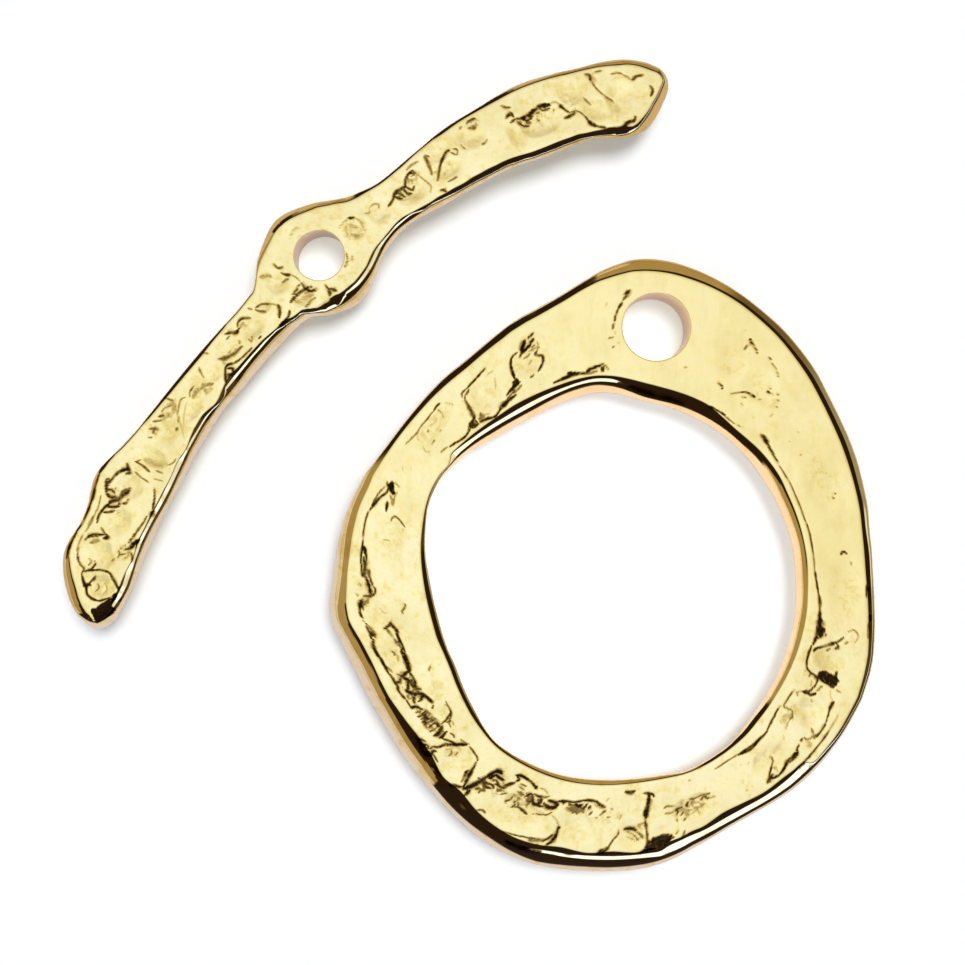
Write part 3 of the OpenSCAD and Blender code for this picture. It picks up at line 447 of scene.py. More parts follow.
    (1.0, 0.70, [(250.4, 232.0), (251.6, 233.4), (253.4, 232.2), (254.2, 230.0)]),
    (1.0, 0.60, [(246.0, 230.6), (247.0, 231.2), (247.8, 232.6)]),
    (0.9, 0.60, [(246.2, 237.0), (247.4, 236.2), (248.6, 238.4)]),
    (0.9, 0.75, [(246.2, 228.2), (248.0, 228.4)]),
    (1.6, 0.95, [(245.0, 228.0), (245.6, 225.0), (244.8, 222.2)]),
    (1.3, 1.00, [(244.4, 222.2), (245.6, 220.5), (247.7, 221.3), (249.3, 223.4), (250.7, 226.8)]),
    (1.2, 0.80, [(250.2, 227.0), (250.6, 224.2)]),
    (1.0, 0.35, [(251.2, 224.4), (252.8, 225.6), (253.8, 228.4)]),
    (0.9, 0.30, [(240.2, 227.0), (241.4, 223.8)]),
    (0.9, 0.60, [(246.7, 279.0), (249.3, 277.9), (252.5, 275.8), (254.6, 273.6)]),
    (2.0, 0.55, [(252.6, 278.0), (254.4, 276.0), (256.0, 273.6)]),
    (1.8, 1.00, [(256.4, 277.6), (257.3, 273.2), (257.9, 266.0), (258.1, 258.4)]),
    (1.0, 0.85, [(255.4, 275.4), (256.4, 271.0), (257.2, 266.6)]),
    (0.6, 0.45, [(258.1, 256.6), (257.2, 251.0), (255.8, 247.6)]),
    (1.1, 0.60, [(240.2, 271.2), (241.2, 268.4), (242.0, 270.2)]),
    # the comb from 257 to 270 degrees
    (1.3, 0.95, [(256.8, 232.8), (258.2, 231.4), (259.6, 230.8), (261.1, 230.0), (262.7, 227.8)]),
    (1.2, 0.90, [(262.7, 227.8), (264.3, 226.7), (265.9, 227.2), (267.2, 230.0)]),
    (1.8, 0.95, [(266.6, 229.6), (267.6, 231.4), (268.2, 232.4)]),
    (1.0, 0.75, [(257.9, 232.0), (258.0, 234.2)]),
    (1.1, 0.80, [(259.5, 231.0), (259.6, 235.0)]),
    (1.8, 0.90, [(260.9, 230.6), (261.5, 233.6), (262.6, 232.0)]),
    (1.1, 0.85, [(262.9, 236.8), (263.5, 233.0), (263.9, 230.2)]),
    (1.4, 0.95, [(264.2, 235.6), (264.7, 232.4)]),
    (0.9, 0.65, [(264.6, 241.0), (265.2, 237.6)]),
    (1.1, 0.65, [(260.6, 241.6), (261.2, 239.2), (261.8, 242.4)]),
    (1.3, 0.90, [(267.8, 237.8), (268.5, 236.2)]),
    (1.0, 0.60, [(267.0, 241.2), (267.8, 238.8)]),
    (0.9, 0.45, [(265.6, 229.6), (266.4, 232.8)]),
    (0.9, 0.35, [(268.6, 226.2), (269.4, 223.0)]),
    (0.8, 0.45, [(266.0, 243.8), (266.6, 243.2)]),
    (0.8, 0.45, [(268.8, 242.6), (269.6, 242.2)]),
    (0.8, 0.35, [(271.8, 244.6), (272.2, 241.0)]),
    (0.8, 0.50, [(269.8, 233.8), (270.3, 235.2)]),
    (1.4, 0.75, [(267.0, 280.4), (267.6, 276.4), (268.2, 275.0)]),
    (1.7, 0.85, [(267.6, 278.6), (268.8, 275.2), (269.4, 271.8)]),
    (0.8, 0.80, [(269.2, 272.4), (270.2, 265.4), (271.4, 259.4), (271.6, 255.0)]),
    (1.0, 0.35, [(271.2, 258.6), (271.7, 254.4)]),
    # around the cross crease at 279 degrees
    (1.6, 0.90, [(272.9, 255.0), (274.0, 254.8), (275.4, 256.8)]),
    (1.4, 0.55, [(275.0, 257.0), (276.2, 261.2), (276.8, 265.6)]),
    (1.0, 0.45, [(273.4, 257.6), (274.6, 260.4), (275.4, 264.6)]),
    (0.8, 0.35, [(273.2, 262.0), (274.4, 265.4)]),
    (1.3, 0.80, [(277.0, 277.0), (277.5, 270.0), (277.8, 262.0), (277.7, 254.0), (277.8, 248.0)]),
    (2.1, 1.00, [(277.8, 247.0), (278.4, 239.0), (279.1, 230.0), (279.6, 223.6)]),
    (1.3, 0.95, [(278.3, 220.8), (279.7, 221.8), (280.5, 223.6), (280.8, 225.6)]),
    (1.3, 0.40, [(276.6, 256.0), (276.0, 252.2), (277.4, 249.8)]),
    (1.3, 0.95, [(273.6, 217.4), (275.0, 218.6), (276.0, 217.4)]),
    (1.0, 0.70, [(274.8, 219.4), (274.9, 216.8)]),
    (1.1, 0.60, [(284.7, 273.0), (285.4, 270.0), (285.9, 265.8)]),
    (1.0, 0.50, [(283.9, 267.0), (284.6, 264.0)]),
    # the speckled hollow from 282 to 296 degrees
    (0.9, 0.45, [(282.4, 244.6), (283.8, 245.2), (284.9, 244.6)]),
    (0.9, 0.45, [(282.4, 239.6), (283.4, 238.0), (285.2, 239.8)]),
    (1.1, 0.70, [(285.1, 249.2), (285.5, 246.2), (285.4, 243.8), (286.8, 243.4)]),
    (1.0, 0.60, [(285.9, 250.4), (286.8, 248.6)]),
    (1.0, 0.55, [(286.3, 256.0), (287.0, 254.2)]),
    (0.9, 0.45, [(285.0, 255.6), (284.8, 252.6)]),
    (1.2, 0.70, [(288.4, 244.6), (287.9, 242.4), (288.6, 240.0)]),
    (0.9, 0.55, [(289.2, 237.8), (290.6, 238.8), (292.2, 238.2), (293.6, 239.0)]),
    (1.3, 0.70, [(291.6, 242.6), (292.4, 240.4), (293.2, 240.6)]),
    (1.3, 0.80, [(292.6, 240.2), (293.0, 242.6), (293.6, 243.6)]),
    (1.0, 0.70, [(293.4, 239.2), (294.2, 239.6)]),
    (0.8, 0.45, [(293.4, 243.6), (295.0, 244.4)]),
    (0.8, 0.35, [(289.2, 246.2), (290.8, 248.8), (292.0, 247.4)]),
    (0.9, 0.30, [(288.2, 252.4), (289.6, 250.6)]),
    (1.0, 0.30, [(289.6, 243.0), (291.0, 244.0)]),
    (0.9, 0.40, [(290.4, 219.8), (291.0, 219.9)]),
    (0.8, 0.25, [(301.8, 254.6), (302.4, 254.0)]),
    (0.8, 0.25, [(304.2, 229.8), (304.4, 228.4)]),
    (0.8, 0.25, [(305.8, 232.8), (306.2, 232.0)]),
    # two creases along the edges, 298 to 328 degrees
    (0.6, 0.75, [(297.9, 220.0), (300.0, 219.5), (302.7, 218.9), (305.3, 219.7)]),
    (1.0, 0.95, [(305.2, 220.2), (306.6, 221.6), (308.4, 222.9), (310.4, 222.2), (312.4, 221.0), (314.8, 220.6)]),
    (1.2, 0.80, [(305.6, 219.8), (308.0, 220.6), (310.0, 220.8), (312.6, 220.4)]),
    (0.8, 0.80, [(314.6, 220.4), (316.6, 217.6), (318.4, 215.8), (320.2, 214.2), (321.2, 213.4)]),
    (1.0, 0.40, [(320.2, 214.2), (321.4, 213.4), (322.4, 214.2)]),
    (1.9, 0.95, [(306.9, 259.6), (307.8, 258.0), (308.6, 256.8)]),
    (1.1, 0.95, [(307.9, 258.6), (309.4, 260.6), (310.9, 260.1), (312.4, 258.2)]),
    (1.7, 0.95, [(312.2, 258.4), (313.4, 256.6), (315.0, 257.0), (316.6, 256.4)]),
    (1.0, 0.90, [(316.2, 256.4), (316.8, 254.2), (317.8, 252.8)]),
    (0.8, 0.80, [(313.6, 258.8), (315.2, 258.8), (316.2, 258.0)]),
    (0.9, 0.80, [(307.9, 256.4), (308.8, 252.8), (309.9, 249.4)]),
    (1.0, 0.45, [(309.6, 250.0), (310.8, 246.8), (311.2, 242.8), (310.8, 240.6)]),
    (1.0, 0.90, [(318.6, 251.6), (319.5, 251.4)]),
    (1.0, 0.60, [(319.8, 252.0), (319.9, 255.4), (320.9, 257.6), (322.2, 259.6)]),
    (1.2, 0.95, [(321.0, 260.2), (322.4, 260.9), (324.1, 261.1), (325.6, 260.0)]),
    (0.8, 0.90, [(325.4, 260.0), (327.1, 257.8), (328.4, 256.2)]),
    (1.3, 1.00, [(328.2, 256.2), (329.2, 255.6), (330.2, 255.6)]),
    (0.6, 0.30, [(330.4, 253.6), (331.2, 249.6), (332.4, 246.6)]),
    (0.7, 0.40, [(318.3, 232.6), (319.5, 230.6), (320.8, 229.4)]),
    (1.2, 0.60, [(320.8, 229.2), (322.2, 229.0)]),
    (0.8, 0.55, [(321.2, 232.0), (322.0, 229.8), (323.2, 225.2)]),
    (0.9, 0.65, [(323.2, 225.4), (322.8, 221.4), (322.6, 216.6), (324.4, 215.2), (327.9, 215.6)]),
    (0.8, 0.28, [(319.2, 228.2), (320.4, 223.8)]),
    (0.8, 0.22, [(316.2, 238.4), (317.0, 235.0)]),
    (1.0, 0.30, [(327.6, 237.6), (328.2, 234.4)]),
    (0.55, 0.90, [(67, 187), (70, 186.3), (74, 185.3), (78, 185.6), (82, 187.8), (85, 190.2)]),
    (1.5, 0.90, [(248.5, 287.6), (251, 288.2), (253.5, 287.4), (255.6, 286)]),
    (0.9, 0.85, [(312.5, 267.8), (316, 268.5), (320, 268.2), (323, 267.5), (325.5, 267)]),
    (0.7, 0.45, [(325, 267.1), (327, 266.8), (328.6, 266.2)]),
    (2.8, 0.26, [(319.1, 263), (319.6, 258.5), (319.8, 255.5)]),
    (1.3, 0.40, [(321, 258.6), (321.8, 256), (322.4, 252)]),
    # the notch at 329 and the pit at 334 degrees
    (1.5, 0.95, [(328.6, 223.8), (328.9, 228.0), (328.8, 232.0), (329.2, 233.4)]),
    (1.4, 0.95, [(329.0, 233.6), (329.8, 235.8)]),
    (0.9, 0.45, [(328.6, 222.6), (327.6, 219.2), (327.0, 222.0)]),
    (0.8, 0.75, [(329.2, 229.0), (330.3, 230.4), (332.0, 232.0)]),
    (0.8, 0.80, [(332.0, 231.8), (333.2, 230.8), (335.0, 229.6)]),
    (0.9, 0.50, [(330.6, 236.0), (332.2, 238.0)]),
    (0.7, 0.30, [(330.8, 228.0), (332.2, 226.2)]),
    (1.3, 0.95, [(333.3, 231.0), (333.7, 226.0), (333.8, 222.0)]),
    (0.9, 0.95, [(333.8, 223.4), (334.2, 218.0), (335.2, 214.6), (336.8, 212.6), (338.8, 211.8), (340.6, 212.2)]),
    (0.8, 0.60, [(332.6, 222.4), (333.8, 222.2)]),
    (0.6, 0.35, [(333.4, 216.4), (334.6, 216.8)]),
    (1.0, 0.35, [(332.9, 257.6), (332.8, 252.4)]),
    (0.9, 0.80, [(335.4, 246.2), (336.2, 245.4), (336.9, 245.2)]),
    # the oval dent and ridge from 338 to 348 degrees
    (1.0, 0.90, [(339.2, 215.8), (340.3, 217.7), (341.4, 224.6)]),
    (1.6, 1.00, [(341.2, 223.4), (342.2, 229.0), (343.2, 233.4)]),
    (1.0, 0.95, [(343.0, 233.4), (343.9, 237.0), (344.8, 239.9)]),
    (1.5, 0.60, [(341.6, 235.6), (342.4, 238.0), (343.0, 235.0)]),
    (1.2, 0.55, [(340.6, 228.6), (341.4, 231.0)]),
    (0.8, 0.60, [(343.6, 243.6), (344.2, 246.0)]),
    (0.8, 0.45, [(344.4, 252.0), (345.8, 254.4), (346.8, 251.6), (347.1, 247.6), (346.4, 242.8)]),
    (1.0, 0.60, [(343.9, 222.4), (344.8, 222.0)]),
    # the long crease round the inner edge, 341 to 404 degrees
    (1.3, 1.00, [(340.8, 213.0), (342.0, 213.6), (343.2, 213.8)]),
    (2.7, 1.00, [(343.2, 214.8), (344.2, 216.6), (345.4, 216.4)]),
    (2.4, 1.00, [(345.4, 217.0), (346.4, 214.2), (348.0, 212.8)]),
    (1.4, 1.00, [(347.6, 212.6), (350.0, 211.4), (353.0, 209.8), (354.7, 207.9)]),
    (0.9, 1.00, [(354.4, 208.2), (356.8, 205.8), (358.9, 204.4), (361.1, 203.3)]),
    (0.6, 0.65, [(360.8, 203.4), (363.7, 202.8), (366.0, 202.7)]),
    (0.8, 0.90, [(366.0, 202.7), (369.0, 202.3), (372.0, 202.3), (374.8, 201.4)]),
    (0.6, 0.80, [(374.6, 201.4), (378.0, 200.7), (381.3, 200.3), (384.8, 200.2), (388.4, 200.4), (392.0, 200.2), (394.2, 200.5)]),
    (1.1, 0.95, [(394.0, 200.5), (396.0, 201.2), (398.2, 202.4), (400.4, 203.6)]),
    (1.7, 0.90, [(399.6, 203.2), (401.6, 204.4), (403.2, 205.2)]),
    # small marks on the smooth side
    (0.9, 0.45, [(362.5, 239.9), (363.1, 239.8)]),
    (1.0, 0.75, [(364.9, 229.4), (365.7, 232.4), (365.3, 235.8)]),
    (1.4, 0.60, [(379.0, 235.2), (379.4, 234.4)]),
    (1.3, 0.60, [(379.9, 238.6), (380.1, 237.4)]),
    (0.9, 0.28, [(385.3, 237.7), (385.6, 237.3)]),
    (1.0, 0.35, [(392.2, 224.2), (392.6, 223.8)]),
    (1.0, 0.35, [(396.6, 223.0), (397.0, 222.4)]),
    (1.0, 0.38, [(397.5, 235.0), (397.8, 234.4)]),
    (0.9, 0.25, [(389.4, 232.8), (389.8, 231.8)]),
    (1.0, 0.45, [(405.2, 235.4), (405.5, 235.9)]),
    (1.2, 0.60, [(406.1, 241.4), (406.4, 240.8)]),
    (1.2, 0.60, [(407.3, 245.2), (407.7, 246.4)]),
    (0.8, 0.50, [(408.0, 241.4), (409.0, 242.0)]),
    (1.7, 0.90, [(409.2, 240.6), (409.6, 241.0)]),
    (0.9, 0.40, [(409.6, 244.0), (409.9, 246.2)]),
    (1.1, 0.40, [(409.6, 231.6), (410.0, 229.4)]),
    (1.0, 0.25, [(404.8, 229.6), (405.0, 223.4)]),
    (0.9, 0.45, [(407.8, 212.2), (408.2, 212.2)]),
    (1.0, 0.40, [(410.1, 259.2), (410.9, 262.4), (413.1, 266.2)]),
    (1.2, 0.55, [(413.6, 268.4), (414.0, 268.2)]),
    (0.9, 0.90, [(411.2, 228.2), (413.1, 227.8), (414.4, 225.0)]),
    (0.6, 0.60, [(414.4, 225.0), (415.7, 220.6), (416.8, 215.8)]),
    (0.9, 0.50, [(413.0, 222.4), (414.0, 220.4)]),
    (1.0, 0.30, [(412.0, 213.0), (413.2, 216.0)]),
    (1.0, 0.65, [(416.8, 265.0), (417.6, 268.4), (418.8, 270.6)]),
    (1.2, 0.90, [(418.4, 270.4), (419.2, 271.6), (419.7, 274.0)]),
    (0.9, 0.60, [(419.2, 269.0), (419.6, 262.0)]),
    (1.0, 0.40, [(418.2, 260.6), (418.3, 259.4)]),
    (0.9, 0.28, [(421.4, 280.0), (421.6, 277.0)]),
    (0.9, 0.80, [(419.2, 216.6), (419.9, 219.4)]),
    (0.8, 0.55, [(419.8, 219.2), (421.6, 220.4)]),
    (0.7, 0.35, [(430.1, 220.6), (430.7, 220.2)]),
    (0.6, 0.55, [(408.3, 197.2), (410.7, 195.0), (413.3, 194.6), (415.0, 195.0)]),
    (0.9, 0.85, [(414.8, 195.4), (417.0, 195.6), (420.0, 195.6)]),
    # the crescent beside the jump-ring hole
    (1.7, 0.75, [(446.3, 284.4), (446.9, 282.6), (447.5, 281.2)]),
    (1.6, 0.60, [(446.7, 279.4), (447.2, 277.6), (447.8, 275.8)]),
    (1.3, 0.95, [(447.8, 273.0), (448.2, 270.4), (448.4, 268.2)]),
    (0.8, 0.75, [(448.4, 268.4), (449.1, 260.8), (449.5, 252.6)]),
    (1.0, 0.60, [(449.5, 252.4), (449.7, 248.4), (449.6, 245.6)]),
    (0.7, 0.40, [(449.5, 245.4), (449.4, 240.8)]),
    (0.9, 0.45, [(449.6, 237.4), (450.8, 237.6)]),
    (1.0, 0.60, [(449.4, 228.4), (449.9, 227.8)]),
    (0.8, 0.28, [(448.2, 232.6), (449.0, 233.2)]),
    (0.8, 0.25, [(451.0, 273.0), (451.2, 269.6)]),
    (0.8, 0.22, [(453.0, 272.4), (453.2, 270.8)]),
    # nicks in the outer edge of the smooth side
    (1.3, 1.00, [(350.2, 263.6), (350.6, 262.0), (351.2, 261.8)]),
    (0.6, 0.70, [(346.0, 264.2), (347.8, 262.2), (349.6, 261.4)]),
    (0.7, 0.80, [(355.0, 255.7), (356.2, 255.2), (357.8, 255.0)]),
    (0.8, 0.70, [(356.4, 257.0), (357.4, 258.0)]),
]

# Pits in the ring's top filled with painted shade: darkness, depth, corners
RING_PITS = [
    (0.95, 0.05, [(115.2, 213.4), (116.2, 219.8), (117.0, 216.4), (118.4, 212.6), (120.4, 208.4), (118.6, 208.6), (117.0, 211.6)]),
    (0.80, 0.05, [(131.4, 208.8), (133.2, 207.8), (134.9, 203.8), (131.5, 201.4)]),
    (1.00, 0.06, [(156.9, 239.0), (158.0, 242.6), (158.6, 239.6), (159.7, 237.0), (159.6, 231.0), (158.6, 234.6), (157.8, 235.4)]),
    (0.92, 0.06, [(332.9, 242.0), (333.1, 249.2), (334.6, 250.2), (335.7, 246.6), (335.6, 240.0), (335.4, 231.0), (333.4, 232.4)]),
    (0.90, 0.08, [(275.4, 280.0), (277.6, 278.6), (280.0, 277.6), (282.9, 271.6), (283.4, 269.2), (281.8, 265.4), (279.6, 265.8), (278.4, 267.2), (277.4, 273.0), (276.2, 277.4)]),
    (0.85, 0.05, [(342.8, 213.6), (343.4, 218.6), (345.4, 220.2), (346.6, 215.8), (348.6, 212.4), (346.0, 211.4)]),
]

# Broad hollows left by the hammer: angle, radius, half length along the ring,
# half width across it, depth in millimetres
RING_HOLLOWS = [
    (112.4, 229, 18, 15, 0.05),
    (125.6, 219, 19, 18, 0.07),
    (140.0, 232, 24, 10, 0.04),
    (171.0, 226, 26, 20, 0.05),
    (182.0, 254, 8, 6, 0.04),
    (190.0, 238, 16, 14, 0.04),
    (200.0, 234, 17, 9, 0.06),
    (219.0, 219, 9, 8, 0.05),
    (230.0, 241, 16, 17, 0.08),
    (247.0, 256, 38, 18, 0.09),
    (262.0, 256, 24, 20, 0.06),
    (274.0, 260, 14, 18, 0.06),
    (290.0, 246, 28, 14, 0.05),
    (311.0, 242, 24, 14, 0.05),
    (325.0, 240, 16, 20, 0.07),
    (339.0, 234, 15, 18, 0.08),
    (356.0, 236, 36, 20, 0.04),
    (385.0, 232, 44, 22, 0.03),
    (412.0, 240, 22, 20, 0.04),
    (420.0, 246, 18, 22, 0.03),
]

# Crumpled skin in places on the ring: angle, radius, half length, half width, height, darkness of its painted specks of
# shade
RING_SKIN = [
    (110.0, 244, 9, 9, 0.020, 0.40),
    (129.6, 206, 5, 5, 0.012, 0.40),
    (140.0, 233, 24, 10, 0.010, 0.14),
    (187.0, 248, 8, 5, 0.016, 0.40),
    (194.0, 246, 8, 4, 0.014, 0.40),
    (209.0, 232, 20, 10, 0.030, 0.50),
    (219.5, 234, 18, 8, 0.034, 0.70),
    (222.0, 252, 9, 5, 0.020, 0.50),
    (228.0, 238, 10, 9, 0.012, 0.20),
    (238.5, 247, 9, 9, 0.020, 0.50),
    (241.0, 240, 14, 14, 0.022, 0.48),
    (251.0, 240, 24, 10, 0.022, 0.48),
    (254.6, 277, 7, 4, 0.016, 0.50),
    (262.0, 236, 18, 7, 0.022, 0.45),
    (270.0, 240, 14, 16, 0.008, 0.16),
    (275.0, 262, 8, 9, 0.016, 0.38),
    (289.5, 246, 26, 11, 0.014, 0.30),
    (309.0, 254, 9, 6, 0.012, 0.30),
    (322.0, 226, 12, 10, 0.012, 0.20),
    (345.0, 246, 6, 7, 0.008, 0.10),
    (408.0, 236, 12, 12, 0.006, 0.12),
]
